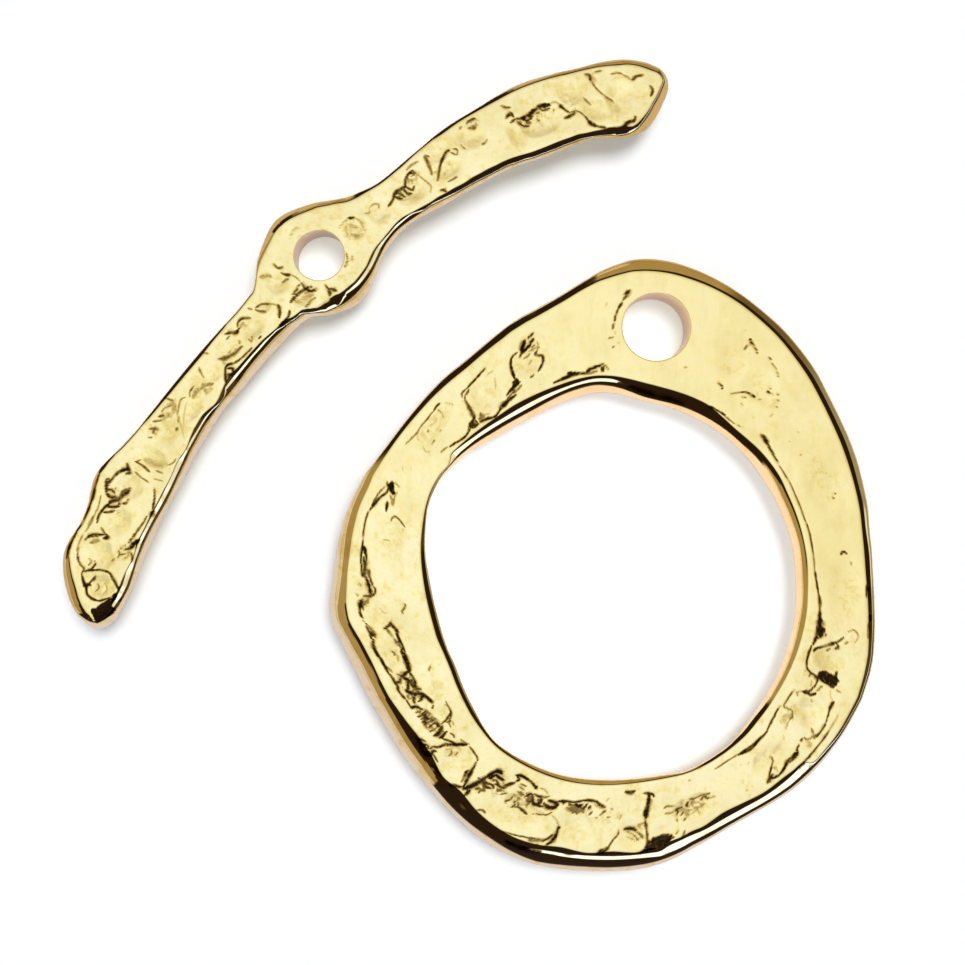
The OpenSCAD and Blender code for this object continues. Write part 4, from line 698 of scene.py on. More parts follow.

# Marks cut into the bar's top: half width, darkness of its painted shade, points as (distance along, distance to the
# left)
BAR_MARKS = [
    (1.5, 0.85, [(66, 38.4), (74, 38.0), (82, 37.0), (89, 35.4)]),
    (1.2, 0.85, [(102, 33.4), (114, 33.2), (125, 34.0), (135, 36.2), (146, 38.0)]),
    # lower end
    (1.2, 0.90, [(31, 0), (33, 7), (37, 12), (43, 13.5), (48, 17), (55, 20)]),
    (1.1, 0.85, [(55, 20), (60, 19), (62, 22), (66, 26), (71, 28)]),
    (1.3, 0.50, [(70, 27.5), (76, 29.5), (83, 30), (90, 29)]),
    (1.0, 0.85, [(57, 19), (60, 10), (62, 2), (61, -7), (55, -12), (47, -19)]),
    (1.1, 0.80, [(58, -9), (51, -15), (45, -19)]),
    (1.1, 0.90, [(31, 0), (32, -4), (36, -12)]),
    (0.9, 0.65, [(43, 13), (50, 9), (55, 6)]),
    (1.2, 0.75, [(44, 16), (46, 12), (45, 9)]),
    (1.3, 0.70, [(50, 8), (53, 6)]),
    (1.1, 0.75, [(57, 19), (59, 14), (61, 11), (66, 9), (69, 10)]),
    (0.9, 0.55, [(40, 4), (44, 1), (48, 3)]),
    (0.8, 0.30, [(38, -4), (44, -7), (50, -4)]),
    (0.9, 0.50, [(64, 15), (68, 13), (70, 16)]),
    (1.7, 0.90, [(86, 25), (90, 22), (93, 16), (95, 12), (97, 8)]),
    (1.6, 0.85, [(92, 9), (95, 5), (97, 7)]),
    (1.1, 0.70, [(97, 8), (101, 14)]),
    (2.2, 0.40, [(84, 20), (87, 16), (89, 12)]),
    (0.9, 0.40, [(90, 29), (97, 26.5), (107, 25), (118, 25), (130, 27)]),
    (1.6, 0.40, [(98, 27), (104, 26), (109, 26)]),
    (1.3, 0.85, [(104, 20), (112, 21), (120, 19), (126, 16)]),
    (1.5, 0.75, [(116, 18), (118, 13), (121, 9)]),
    (1.3, 0.75, [(122, 17), (124, 12), (127, 6)]),
    (1.6, 0.85, [(127, 17), (130, 14), (133, 9)]),
    (1.3, 0.70, [(126, 8), (131, 7)]),
    (1.5, 0.80, [(133, 23), (132, 18), (134, 12)]),
    (1.3, 0.70, [(137, 24), (139, 20), (137, 16)]),
    (1.5, 0.85, [(133, 10), (140, 7), (146, 4)]),
    (1.2, 0.60, [(138, 10), (143, 9), (147, 6)]),
    (1.6, 0.90, [(135, 24), (142, 27), (146, 25), (155, 23), (161, 19), (165, 14)]),
    (1.0, 0.70, [(141, 25), (143, 29), (147, 28), (145, 25)]),
    (1.7, 0.75, [(159, 15), (162, 12), (165, 15), (168, 18)]),
    (1.3, 0.75, [(131, 4.5), (133, 2), (135, 0)]),
    (1.2, 0.70, [(136, 1.5), (138, 0.5)]),
    (1.1, 0.55, [(147, 5.5), (149, 4.5)]),
    (0.8, 0.60, [(165, 8), (163, 0), (162, -10)]),
    (1.1, 0.70, [(174, 12), (174, 4), (172, -5)]),
    (0.9, 0.50, [(174, 11), (178, 9)]),
    (0.8, 0.35, [(168, -12), (170, -21)]),
    (1.0, 0.80, [(160, -17), (155, -20), (148, -23), (140, -25)]),
    (2.0, 0.80, [(132, -26), (137, -26.5)]),
    (1.0, 0.45, [(73, -7), (77, -8)]),
    (1.1, 0.50, [(78, -11), (82, -12), (86, -10)]),
    (1.2, 0.65, [(82, -13), (85, -18)]),
    (1.3, 0.75, [(88, -15), (92, -20), (96, -23)]),
    (1.9, 0.60, [(98, -17), (104, -18.5), (108, -19)]),
    (1.1, 0.70, [(106, -19.5), (114, -21), (122, -22.5), (130, -23)]),
    (2.3, 0.90, [(95, -21), (99, -23), (103, -25)]),
    (1.2, 0.55, [(88, -22), (84, -25), (78, -26)]),
    (3.0, 0.22, [(181, 5), (183, -6), (187, -16)]),
    (0.9, 0.50, [(187, -18), (191, -21), (197, -22)]),
    (1.1, 0.40, [(176, -10), (177, -17)]),
    # the slack in the middle of the lower arm
    (1.6, 0.65, [(208, 17), (211, 14), (214, 11)]),
    (1.3, 0.60, [(207, 11), (211, 12)]),
    (1.2, 0.60, [(217, 17), (220, 13), (222, 11)]),
    (1.2, 0.55, [(224, 15), (228, 11)]),
    (1.0, 0.50, [(230, 15), (235, 14), (240, 10)]),
    (1.3, 0.60, [(243, 20), (244, 15), (245, 11)]),
    (1.1, 0.50, [(203, 10), (201, 13)]),
    (1.4, 0.55, [(221, -7), (224, -7)]),
    (1.2, 0.40, [(229, -5), (235, -2)]),
    (1.0, 0.45, [(236, 0), (243, 3), (250, 5), (254, 3)]),
    (0.9, 0.25, [(218, -19), (227, -10), (238, 3), (244, 8)]),
    (0.9, 0.22, [(228, -12), (240, -5), (252, -1)]),
    (1.0, 0.55, [(257, -1), (262, 2), (268, 2)]),
    (2.4, 0.32, [(258, -4), (264, -3), (270, -4)]),
    (2.2, 0.42, [(270, -5), (277, -7), (281, -12)]),
    (1.6, 0.25, [(272, -10), (277, -15)]),
    (1.3, 0.40, [(286, 8), (283, 3), (281, -2)]),
    (1.5, 0.45, [(301, 13), (303, 9)]),
    (3.0, 0.36, [(305, -2), (310, -7), (318, -10), (330, -12)]),
    (1.2, 0.50, [(306, -3), (312, -8), (320, -11), (330, -12)]),
    (1.5, 0.35, [(331, -9), (333, -6)]),
    (1.8, 0.80, [(328, 9), (332, 6), (337, 2), (341, 2)]),
    (1.0, 0.50, [(325, 4), (330, 4)]),
    (1.3, 0.65, [(341, 4), (345, 7), (350, 7), (354, 4), (357, 1)]),
    (2.4, 0.30, [(343, 2), (349, 3)]),
    (1.1, 0.40, [(340, -12), (341, -16), (345, -12)]),
    (1.0, 0.55, [(366, 4), (369, -1), (372, -5)]),
    (1.2, 0.60, [(368, 5), (374, 4), (380, -1)]),
    (0.9, 0.55, [(369, 0), (373, -4)]),
    (0.9, 0.35, [(379, 0), (383, -4), (385, -7)]),
    (1.6, 0.75, [(386, -8), (384, -13), (379, -18)]),
    (1.0, 0.40, [(362, 10), (364, 6)]),
    (1.4, 0.90, [(291, -22), (298, -16), (304, -13), (310, -15)]),
    (1.5, 0.75, [(303, -15), (306, -19), (304, -21)]),
    (1.3, 0.65, [(297, -18), (300, -21)]),
    (1.2, 0.70, [(309, -16), (318, -19), (326, -20), (336, -20.5)]),
    (1.2, 0.65, [(348, -19), (352, -19)]),
    (1.3, 0.80, [(374, -24), (381, -24), (387, -23), (391, -20)]),
    # round the eye
    (2.2, 0.32, [(391, 25), (397, 22), (400, 18)]),
    (1.8, 0.55, [(411, 26), (411, 20), (415, 17)]),
    (1.5, 0.80, [(410, 14), (412, 10), (416, 6)]),
    (0.8, 0.45, [(416, 5), (418, 0), (418, -6)]),
    (1.5, 0.85, [(418, -6), (417, -13)]),
    (1.4, 0.50, [(402, 5), (406, 6), (411, 5)]),
    (1.2, 0.80, [(404, -10), (410, -9), (416, -7)]),
    (1.3, 0.75, [(397, -14), (407, -13), (417, -14), (424, -18)]),
    (1.7, 0.75, [(417, -15), (420, -20), (425, -22)]),
    (2.6, 0.28, [(402, -18), (410, -20), (418, -24)]),
    (1.2, 0.55, [(405, -28), (412, -27), (418, -28)]),
    (1.4, 0.75, [(434, -26), (433, -32), (430, -36)]),
    (1.6, 0.60, [(435, -31), (438, -37)]),
    (1.0, 0.50, [(461, -25), (467, -23), (472, -16)]),
    (1.2, 0.30, [(470, -26), (475, -22)]),
    (1.2, 0.28, [(440, 33), (448, 36), (456, 34)]),
    # upper arm
    (1.3, 0.85, [(496, 9), (501, 6)]),
    (1.3, 0.30, [(483, 8), (490, 9), (497, 9)]),
    (1.0, 0.30, [(501, 6), (503, 0), (502, -8)]),
    (1.0, 0.28, [(487, -4), (492, -9), (498, -12)]),
    (1.0, 0.35, [(512, 3), (516, 1), (518, 4)]),
    (1.1, 0.35, [(518, 5), (525, 5), (528, 2), (526, -1)]),
    (1.2, 0.80, [(535, -5), (541, -3), (547, 0)]),
    (1.6, 0.85, [(545, 0), (550, 2), (556, 1), (561, 1)]),
    (1.4, 0.80, [(551, 1), (553, -4), (554, -7)]),
    (1.4, 0.75, [(557, 0), (558, -6), (561, -8)]),
    (1.2, 0.70, [(546, -1), (548, -5), (551, -7)]),
    (1.1, 0.65, [(561, -1), (564, -6), (568, -4)]),
    (1.4, 0.85, [(560, 1), (565, 6), (571, 9), (576, 9)]),
    (1.5, 0.70, [(571, 9), (576, 6), (572, 5)]),
    (1.5, 0.40, [(568, 4), (573, 0), (576, 4)]),
    (1.1, 0.40, [(571, 13), (579, 14), (586, 13)]),
    (1.1, 0.35, [(577, 5), (579, -4), (581, -14), (577, -19)]),
    (1.7, 0.70, [(597, 11), (594, 13), (593, 6), (591, 0)]),
    (1.3, 0.60, [(591, 0), (589, -6)]),
    (1.3, 0.80, [(590, -14), (596, -8), (604, -1), (611, 3), (618, 5)]),
    (1.4, 0.75, [(608, 2), (614, 5), (617, 3)]),
    (1.0, 0.55, [(598, -21), (604, -22), (609, -22)]),
    (1.5, 0.85, [(586, -23), (589, -25), (590, -28)]),
    (1.1, 0.60, [(617, 1), (621, -4), (624, 0), (621, 3)]),
    (1.0, 0.40, [(631, -4), (630, 2)]),
    (1.2, 0.45, [(648, -9), (652, -9), (655, -7)]),
    (1.3, 0.65, [(646, 17), (650, 18), (655, 17)]),
    (1.3, 0.55, [(645, 12), (650, 10), (654, 13)]),
    (1.2, 0.40, [(637, 16), (640, 17)]),
    (1.4, 0.60, [(683, 16), (686, 13), (690, 11)]),
    (1.5, 0.85, [(682, 3), (688, 5), (689, 1)]),
    (1.2, 0.75, [(684, -3), (690, -2), (697, -4)]),
    (1.8, 0.95, [(697, -4), (705, -3), (712, 0), (720, 1), (727, 0)]),
    (1.3, 0.80, [(697, -5), (701, -7), (707, -6)]),
    (1.2, 0.65, [(691, -5), (695, -11), (700, -13)]),
    (1.1, 0.60, [(716, 0), (720, -4), (726, -4)]),
    (0.9, 0.35, [(728, 1), (733, 1), (737, -2)]),
    (1.5, 0.80, [(737, -3), (739, -7)]),
    (1.1, 0.70, [(739, -7), (742, -11), (745, -13)]),
    (1.6, 0.75, [(738, -17), (744, -17), (750, -15)]),
    (0.9, 0.45, [(744, -14), (750, -13), (755, -15), (760, -20)]),
    (1.5, 0.85, [(763, -25), (765, -29), (770, -32)]),
    (1.0, 0.70, [(760, -20), (763, -26)]),
    (1.2, 0.75, [(770, -32), (775, -34), (780, -35)]),
    (1.6, 0.60, [(768, 21), (772, 19), (772, 14)]),
    (0.9, 0.45, [(773, 13), (775, 7), (780, 0), (785, -4)]),
    (1.4, 0.60, [(784, -4), (788, -7), (792, -10)]),
    (1.1, 0.45, [(776, 21), (784, 22)]),
    (0.9, 0.50, [(792, 17), (798, 18), (804, 16)]),
    (1.0, 0.40, [(804, 15), (808, 13), (811, 10)]),
    (1.3, 0.75, [(813, 9), (817, 12), (825, 13)]),
    (1.2, 0.40, [(762, -2), (765, -6), (768, -10)]),
    (1.7, 0.85, [(800, -35), (805, -32), (810, -31), (812, -28)]),
    (1.3, 0.60, [(830, 1), (832, -4), (829, -9)]),
]

BAR_PITS = [
    (1.00, 0.08, [(9.6, 0.5), (13, 3.2), (18, 5), (22, 5.5), (24, 1), (29, -4), (33, -8.5), (37, -13.5), (41, -17),
                  (34, -16), (27, -12.5), (24, -16.5), (17, -12), (12, -5)]),
]

# distance along, distance to the left, half length, half width, depth
BAR_HOLLOWS = [
    (46, -4, 14, 16, 0.07),
    (76, 6, 16, 18, 0.08),
    (84, -10, 10, 10, 0.04),
    (114, 2, 18, 16, 0.07),
    (150, 6, 15, 16, 0.08),
    (186, 0, 11, 20, 0.07),
    (214, 2, 18, 15, 0.06),
    (234, 10, 12, 8, 0.05),
    (248, -8, 16, 12, 0.06),
    (272, 4, 12, 10, 0.04),
    (290, -6, 12, 10, 0.05),
    (318, -2, 14, 11, 0.09),
    (352, -6, 16, 12, 0.08),
    (374, 2, 10, 9, 0.05),
    (400, 10, 12, 14, 0.06),
    (408, -20, 12, 8, 0.05),
    (494, -1, 14, 11, 0.07),
    (524, -6, 12, 12, 0.05),
    (564, -8, 19, 13, 0.10),
    (606, 8, 14, 10, 0.05),
    (606, -12, 14, 9, 0.07),
    (642, 4, 18, 14, 0.07),
    (712, -14, 26, 15, 0.10),
    (684, -14, 10, 16, 0.04),
    (752, 6, 16, 14, 0.05),
    (770, -14, 14, 14, 0.05),
    (798, -8, 16, 20, 0.07),
]

BAR_SKIN = [
    (44, 2, 12, 12, 0.010, 0.12),
    (125, 11, 12, 8, 0.024, 0.50),
    (136, 18, 9, 9, 0.020, 0.40),
    (87, -16, 10, 7, 0.018, 0.35),
    (150, 12, 14, 8, 0.010, 0.20),
    (210, 13, 10, 6, 0.018, 0.45),
    (236, 8, 18, 10, 0.010, 0.25),
    (272, -7, 14, 8, 0.012, 0.30),
    (300, -18, 10, 5, 0.018, 0.45),
    (316, -9, 16, 5, 0.012, 0.30),
    (348, 2, 12, 6, 0.010, 0.22),
    (412, -18, 14, 7, 0.014, 0.35),
    (494, -4, 14, 12, 0.010, 0.25),
    (555, -4, 14, 6, 0.022, 0.50),
    (572, 2, 9, 9, 0.016, 0.38),
    (600, -8, 14, 8, 0.010, 0.22),
    (650, 13, 8, 6, 0.020, 0.50),
    (712, -7, 26, 7, 0.022, 0.50),
    (745, -8, 16, 12, 0.010, 0.15),
    (772, 16, 9, 8, 0.010, 0.20),
]


def smooth(lo, hi, v):
    t = np.clip((v - lo) / (hi - lo), 0.0, 1.0)
    return t * t * (3 - 2 * t)


def lattice(ix, iy, seed):
    h = (ix.astype(np.int64) * 374761393 + iy.astype(np.int64) * 668265263 + seed * 974711) & 0xFFFFFFFF
    h = ((h ^ (h >> 13)) * 1274126177) & 0xFFFFFFFF
    h = ((h ^ (h >> 16)) * 2246822519) & 0xFFFFFFFF
    return ((h ^ (h >> 15)) & 0xFFFFFF) / float(0xFFFFFF) * 2 - 1


def noise(x, y, seed):
    """Smooth noise from -1 to 1 with bumps about one unit apart"""
    ix, iy = np.floor(x), np.floor(y)
    fx, fy = x - ix, y - iy
    fx = fx * fx * fx * (fx * (fx * 6 - 15) + 10)
    fy = fy * fy * fy * (fy * (fy * 6 - 15) + 10)
    a = lattice(ix, iy, seed) * (1 - fx) + lattice(ix + 1, iy, seed) * fx
    b = lattice(ix, iy + 1, seed) * (1 - fx) + lattice(ix + 1, iy + 1, seed) * fx
    return a * (1 - fy) + b * fy


def cloud(x, y, seed, octaves=3):
    total, size = 0.0, 0.0
    for k in range(octaves):
        total = total + noise(x * 2 ** k + 17.3 * k, y * 2 ** k - 9.1 * k, seed + 31 * k) * 0.5 ** k
        size += 0.5 ** k
    return total / size


def between(p0, p1, p2, p3, a, b, c, t):
    """Smooth value between rows p1 and p2, with the rows' distances a, b and c"""
    m1 = (p2 - p0) / (a + b) * b
    m2 = (p3 - p1) / (b + c) * b
    return ((2 * t ** 3 - 3 * t ** 2 + 1) * p1 + (t ** 3 - 2 * t ** 2 + t) * m1
            + (3 * t ** 2 - 2 * t ** 3) * p2 + (t ** 3 - t ** 2) * m2)


def spline(points):
    """A smooth line through points: a function of distance along it, that gives place and direction"""
    p = np.array(points, float)
    d = np.r_[0, np.cumsum(np.hypot(*np.diff(p, axis=0).T))]
    n, h = len(p), np.diff(d)
    m = np.zeros((n, n))
    rhs = np.zeros((n, 2))
    for i in range(1, n - 1):
        m[i, i - 1], m[i, i], m[i, i + 1] = h[i - 1], 2 * (h[i - 1] + h[i]), h[i]
        rhs[i] = 6 * ((p[i + 1] - p[i]) / h[i] - (p[i] - p[i - 1]) / h[i - 1])
    m[0, :3] = h[1], -(h[0] + h[1]), h[0]
    m[-1, -3:] = h[-1], -(h[-1] + h[-2]), h[-2]
    s = np.linalg.solve(m, rhs)

    def value(u):
        u = np.asarray(u, float)
        i = np.clip(np.searchsorted(d, u, "right") - 1, 0, n - 2)
        a, b, w = (d[i + 1] - u)[..., None], (u - d[i])[..., None], h[i][..., None]
        place = (s[i] * a ** 3 + s[i + 1] * b ** 3) / (6 * w) + (p[i] / w - s[i] * w / 6) * a + (p[i + 1] / w - s[i + 1] * w / 6) * b
        slope = (-s[i] * a ** 2 + s[i + 1] * b ** 2) / (2 * w) - (p[i] / w - s[i] * w / 6) + (p[i + 1] / w - s[i + 1] * w / 6)
        return place, slope

    fine = np.linspace(0, d[-1], 4000)
    q = value(fine)[0]
    run = np.r_[0, np.cumsum(np.hypot(*np.diff(q, axis=0).T))]

    def at(length):
        place, slope = value(np.interp(length, run, fine))
        slope = slope / np.hypot(slope[..., 0], slope[..., 1])[..., None]
        return place, slope

    return at


bar_at = spline(BAR_LINE)


def ring_chart(points):
    p = np.array(points, float)
    a = np.radians(p[:, 0])
    r = p[:, 1] * UNIT
    return np.stack([6.336 + r * np.cos(a), -4.721 + r * np.sin(a)], -1)


def bar_chart(points):
    p = np.array(points, float)
    place, way = bar_at(p[:, 0])
    x = place[:, 0] + p[:, 1] * way[:, 1]
    y = place[:, 1] - p[:, 1] * way[:, 0]
    return np.stack([(x - 482.5) * UNIT + 0.58, (482.5 - y) * UNIT - 0.61], -1)


def rounded(points, parts=4):
    """More points along a line, so that it bends smoothly"""
    p = np.array(points, float)
    if len(p) < 3:
        return p
    q = np.vstack([2 * p[0] - p[1], p, 2 * p[-1] - p[-2]])
    out = []
    for i in range(1, len(q) - 2):
        for k in range(parts):
            t = k / parts
            out.append(0.5 * (2 * q[i] + (q[i + 1] - q[i - 1]) * t + (2 * q[i - 1] - 5 * q[i] + 4 * q[i + 1] - q[i + 2]) * t * t
                              + (3 * q[i] - q[i - 1] - 3 * q[i + 1] + q[i + 2]) * t ** 3))
    out.append(p[-1])
    return np.array(out)


def line_distance(x, y, line):
    """Distance to a line, and how far along it the nearest place is, from 0 to 1"""
    best = np.full(x.shape, 1e9)
    along = np.zeros(x.shape)
    size = np.hypot(*np.diff(line, axis=0).T)
    total, start = size.sum(), 0.0
    for (ax, ay), (bx, by), l in zip(line[:-1], line[1:], size):
        if l < 1e-9:
            continue
        t = np.clip(((x - ax) * (bx - ax) + (y - ay) * (by - ay)) / (l * l), 0, 1)
        d = np.hypot(x - ax - t * (bx - ax), y - ay - t * (by - ay))
        near = d < best
        best = np.where(near, d, best)
        along = np.where(near, (start + t * l) / total, along)
        start += l
    return best, along


def inside(x, y, corners):
    odd = np.zeros(x.shape, bool)
    for (ax, ay), (bx, by) in zip(corners, np.roll(corners, -1, axis=0)):
        cross = ((ay > y) != (by > y)) & (x < (bx - ax) * (y - ay) / (by - ay + 1e-12) + ax)
        odd ^= cross
    return odd


def relief(x, y, chart, marks, pits, hollows, skins, seed):
    """How far the hammer marks lower the top at (x, y), how much painted shade darkens it there, and how crumpled it is
    there
    """
    drop = np.zeros(x.shape)
    dark = np.zeros(x.shape)
    skin = np.zeros(x.shape)
    ragged = noise(x / 0.16, y / 0.16, seed) * 0.6 + noise(x / 0.08, y / 0.08, seed + 5) * 0.4

    def near(lo, hi):
        return np.nonzero((x > lo[0]) & (x < hi[0]) & (y > lo[1]) & (y < hi[1]))[0]

    def oval(row):
        c = chart([row[:2]])[0]
        e = chart([(row[0] + 0.5, row[1])])[0] - c
        e = e / np.hypot(*e)
        ra, rb = row[2] * UNIT, row[3] * UNIT
        k = near(c - 1.6 * max(ra, rb), c + 1.6 * max(ra, rb))
        dx, dy = x[k] - c[0], y[k] - c[1]
        return k, np.sqrt(((dx * e[0] + dy * e[1]) / ra) ** 2 + ((dy * e[0] - dx * e[1]) / rb) ** 2)

    for row in hollows:
        k, q = oval(row)
        q = q * (1 + 0.10 * ragged[k] * 0.4)
        deep = min(row[4], 0.125 * UNIT * min(row[2], row[3]))
        drop[k] = np.maximum(drop[k], deep * np.clip(1 - q * q, 0, 1) ** 1.4)
        # painted shade: a faint tan darkening inside each hollow, broken up at random
        dark[k] = np.maximum(dark[k], 0.14 * np.clip(1.2 - q * q, 0, 1) * smooth(-0.5, 0.9, ragged[k]))
    for row in skins:
        k, q = oval(row)
        w = 1 - smooth(0.55, 1.15, q)
        bumps = noise(x[k] / 0.22, y[k] / 0.22, seed + 11) + 0.6 * noise(x[k] / 0.11, y[k] / 0.11, seed + 12)
        drop[k] += w * row[4] * (0.6 + bumps)
        # painted shade: dark specks over the crumpled skin
        shade_and_tone = smooth(0.15, 0.75, bumps + 0.2 * noise(x[k] / 0.07, y[k] / 0.07, seed + 13)) * w
        dark[k] = np.maximum(dark[k], row[5] * shade_and_tone)
        skin[k] = np.maximum(skin[k], w * min(1.0, row[4] / 0.02))
    fleck = noise(x / 0.055, y / 0.055, seed + 23)
    vary, fade = noise(x / 0.26, y / 0.26, seed + 31), noise(x / 0.34, y / 0.34, seed + 37)
    for half, shade, points in marks:
        line = rounded(chart(points))
        shade = shade * min(1.0, half / 0.85) ** 0.6
        w = max(half, 0.85) * UNIT
        reach = w * 3 + 0.1
        k = near(line.min(0) - reach, line.max(0) + reach)
        if not len(k):
            continue
        d, along = line_distance(x[k], y[k], line)
        wide = smooth(0.9, 1.8, half)
        d = np.maximum(d + ragged[k] * (0.12 + 0.28 * wide) * w, 0)
        size = w * (0.55 + 0.45 * smooth(0, 0.2, along) * smooth(0, 0.2, 1 - along)) * np.clip(0.94 + (0.25 + 0.35 * wide) * vary[k], 0.55, 1.25)
        groove = np.exp(-(d / (1.05 * size)) ** 2)
        drop[k] += groove * 0.42 * w * min(1.0, 0.15 + shade)
        # painted shade: a dark core along each mark and a softer halo of shade round it
        core = (1 - smooth(0.50, 1.30, d / size)) * (1 - 0.35 * wide * smooth(0.25, 0.8, fleck[k]))
        halo = 0.42 * (1 - smooth(0.9, 2.7, d / size)) * (0.75 + 0.5 * ragged[k])
        dark[k] = np.maximum(dark[k], shade * np.clip(0.90 + (0.2 + 0.2 * wide) * fade[k], 0.6, 1.05) * np.maximum(core, halo))
    for shade, depth, corners in pits:
        c = rounded(np.vstack([chart(corners), chart(corners[:1])]), 3)[:-1]
        k = near(c.min(0) - 0.15, c.max(0) + 0.15)
        if not len(k):
            continue
        d, _ = line_distance(x[k], y[k], np.vstack([c, c[:1]]))
        d = np.where(inside(x[k], y[k], c), -d, d) + ragged[k] * 0.06 + fleck[k] * 0.02
        fill = 1 - smooth(-0.03, 0.05, d)
        drop[k] = np.maximum(drop[k], depth * (1 - smooth(-0.12, 0.05, d)))
        # painted shade filling each pit, broken by light flecks
        light = smooth(0.45, 0.8, fleck[k]) * smooth(-0.25, 0.0, d) * 0.6
        dark[k] = np.maximum(dark[k], shade * fill * (0.92 + 0.08 * ragged[k]) * (1 - light))
    return drop, np.clip(dark, 0, 1), skin


def mottled(x, y, worn, dark, skin, seed):
    """Adds the faint tan blotches and the fine crumpling of a hammered face"""
    blotch = noise(x / 0.34, y / 0.34, seed) + 0.7 * noise(x / 0.15, y / 0.15, seed + 1) + 0.4 * cloud(x / 1.3, y / 1.3, seed + 2, 2)
    tan = worn * (0.085 * smooth(0.25, 1.1, blotch) + 0.045 * smooth(0.2, 0.8, noise(x / 0.08, y / 0.08, seed + 3)))
    tan = tan + 0.045 * (1 - worn)
    return np.maximum(dark, tan), np.maximum(skin, 0.30 * worn * smooth(-0.3, 0.9, blotch))


def ring_worn(x, y):
    """1 on the hammered part of the ring, and little on its smooth side"""
    a = np.mod(np.degrees(np.arctan2(y - RING_Y, x - RING_X)), 360)
    return np.interp(a, [0, 20, 45, 60, 100, 110, 145, 158, 172, 340, 352], [0.12, 0.12, 0.4, 0.15, 0.15, 0.7, 0.5, 0.35, 1, 1, 0.3], period=360)


def ring_relief(x, y):
    drop, dark, skin = relief(x, y, ring_chart, RING_MARKS, RING_PITS, RING_HOLLOWS, RING_SKIN, 3)
    return (drop,) + mottled(x, y, ring_worn(x, y), dark, skin, 71)


def bar_relief(x, y):
    drop, dark, skin = relief(x, y, bar_chart, BAR_MARKS, BAR_PITS, BAR_HOLLOWS, BAR_SKIN, 7)
    return (drop,) + mottled(x, y, 1.0, dark, skin, 81)


EYE = (0.58, -0.61, 66.2)    # the viewpoint: across, up, and its height over the top
GLANCE = (90, 76, 52, 40)
BASE = 0.03                  # how far below its box's lid the top lies on the whole


def waves(x, y, worn, seed):
    """The broad unevenness of a cast and polished face, up and down from its mean"""
    broad = 0.017 * cloud(x / 2.4, y / 2.4, seed, 2)
    return broad + worn * (0.016 * cloud(x / 0.9, y / 0.9, seed + 40, 2) + 0.0075 * noise(x / 0.36, y / 0.36, seed + 44))


def fall(d, knots, sines):
    """Height lost at distance d inside an outline. The sine of the slope runs straight between knots."""
    total = 0.0
    for k in range(4, -1, -1):
        a, b, sa, sb = knots[..., k], knots[..., k + 1], sines[..., k], sines[..., k + 1]
        x = np.clip(d, a, b)
        s = np.clip(sb + (sa - sb) * (b - x) / (b - a), 0, 1)
        total = total + (b - a) / (sa - sb) * (np.sqrt(1 - sb ** 2) - np.sqrt(1 - s ** 2))
    return total


def edge_profile(room, lean, kind):
    """Knots and sines of a rounded edge. room holds the distances to where the slope reaches each
    glance angle, as seen from the viewpoint, and lean is the tangent of the line of sight there,
    outward. They start at the outline itself, or at the line seen last of an outer or inner edge."""
    turn = np.arctan(lean) if kind == "inner" else -np.arctan(lean)
    steep = 0.9995 / np.sqrt(1 + lean ** 2) if kind == "outer" else np.full(len(lean), 0.9995)
    sines = [steep] + [np.sin((math.radians(g) + turn) / 2) for g in GLANCE] + [np.zeros(len(lean))]
    sines = np.stack(sines, -1)
    drops = np.zeros((len(lean), 5))
    for _ in range(8):
        rows = [np.zeros(len(lean))]
        for k in range(4):
            if kind == "outline":
                w = room[:, k] - lean * drops[:, k + 1]
            elif kind == "outer":
                w = room[:, k] + lean * (drops[:, 0] - drops[:, k + 1])
            else:
                w = room[:, k] + lean * (drops[:, k + 1] - drops[:, 0])
            rows.append(np.maximum(w, rows[-1] + (0.03 if k == 0 else 0.008)))
        rows.append(rows[-1] + 0.12)
        knots = np.stack(rows, -1)
        new = np.stack([fall(knots[:, k], knots, sines) for k in range(5)], -1)
        drops = 0.5 * drops + 0.5 * new
    return knots, sines, drops[:, 0]


TURNS = (112.0, 90.0, 76.0, 52.0, 40.0, 0.0)


def turned(d, knots):
    """The glance angle, in half turns, at distances d from the rim of a rounded edge"""
    out = np.zeros(d.shape)
    for k in range(5):
        lo, hi = knots[..., k], knots[..., k + 1]
        t = np.clip((d - lo) / np.maximum(hi - lo, 1e-6), 0, 1)
        out = np.where((d >= lo - 1e-9) & (d <= hi), TURNS[k] + (TURNS[k + 1] - TURNS[k]) * t, out)
    return out / 180


def edge_columns(knots, sines, counts):
    """Distances from the outline for columns of points that follow an edge's bend"""
    out = []
    angles = np.arcsin(sines)
    for k, n in enumerate(counts):
        for j in range(n):
            s = np.sin(angles[:, k] + (angles[:, k + 1] - angles[:, k]) * j / n)
            out.append(knots[:, k + 1] - (knots[:, k + 1] - knots[:, k]) * (s - sines[:, k + 1]) / (sines[:, k] - sines[:, k + 1]))
    out.append(knots[:, 5])
    return np.stack(out, -1)


def make_mesh(name, points, faces):
    mesh = bpy.data.meshes.new(name)
    verts = np.asarray(points, np.float64) * MM
    mesh.vertices.add(len(verts))
    mesh.vertices.foreach_set("co", verts.astype(np.float32).ravel())
    quads = np.asarray(faces, np.int32)
    three = quads[:, 3] < 0
    sizes = np.where(three, 3, 4)
    flat = quads.ravel()
    flat = flat[flat >= 0]
    mesh.loops.add(len(flat))
    mesh.loops.foreach_set("vertex_index", flat)
    starts = np.r_[0, np.cumsum(sizes)[:-1]].astype(np.int32)
    mesh.polygons.add(len(quads))
    mesh.polygons.foreach_set("loop_start", starts)
    mesh.update(calc_edges=True)
    mesh.validate()
    obj = bpy.data.objects.new(name, mesh)
    bpy.context.scene.collection.objects.link(obj)
    return obj


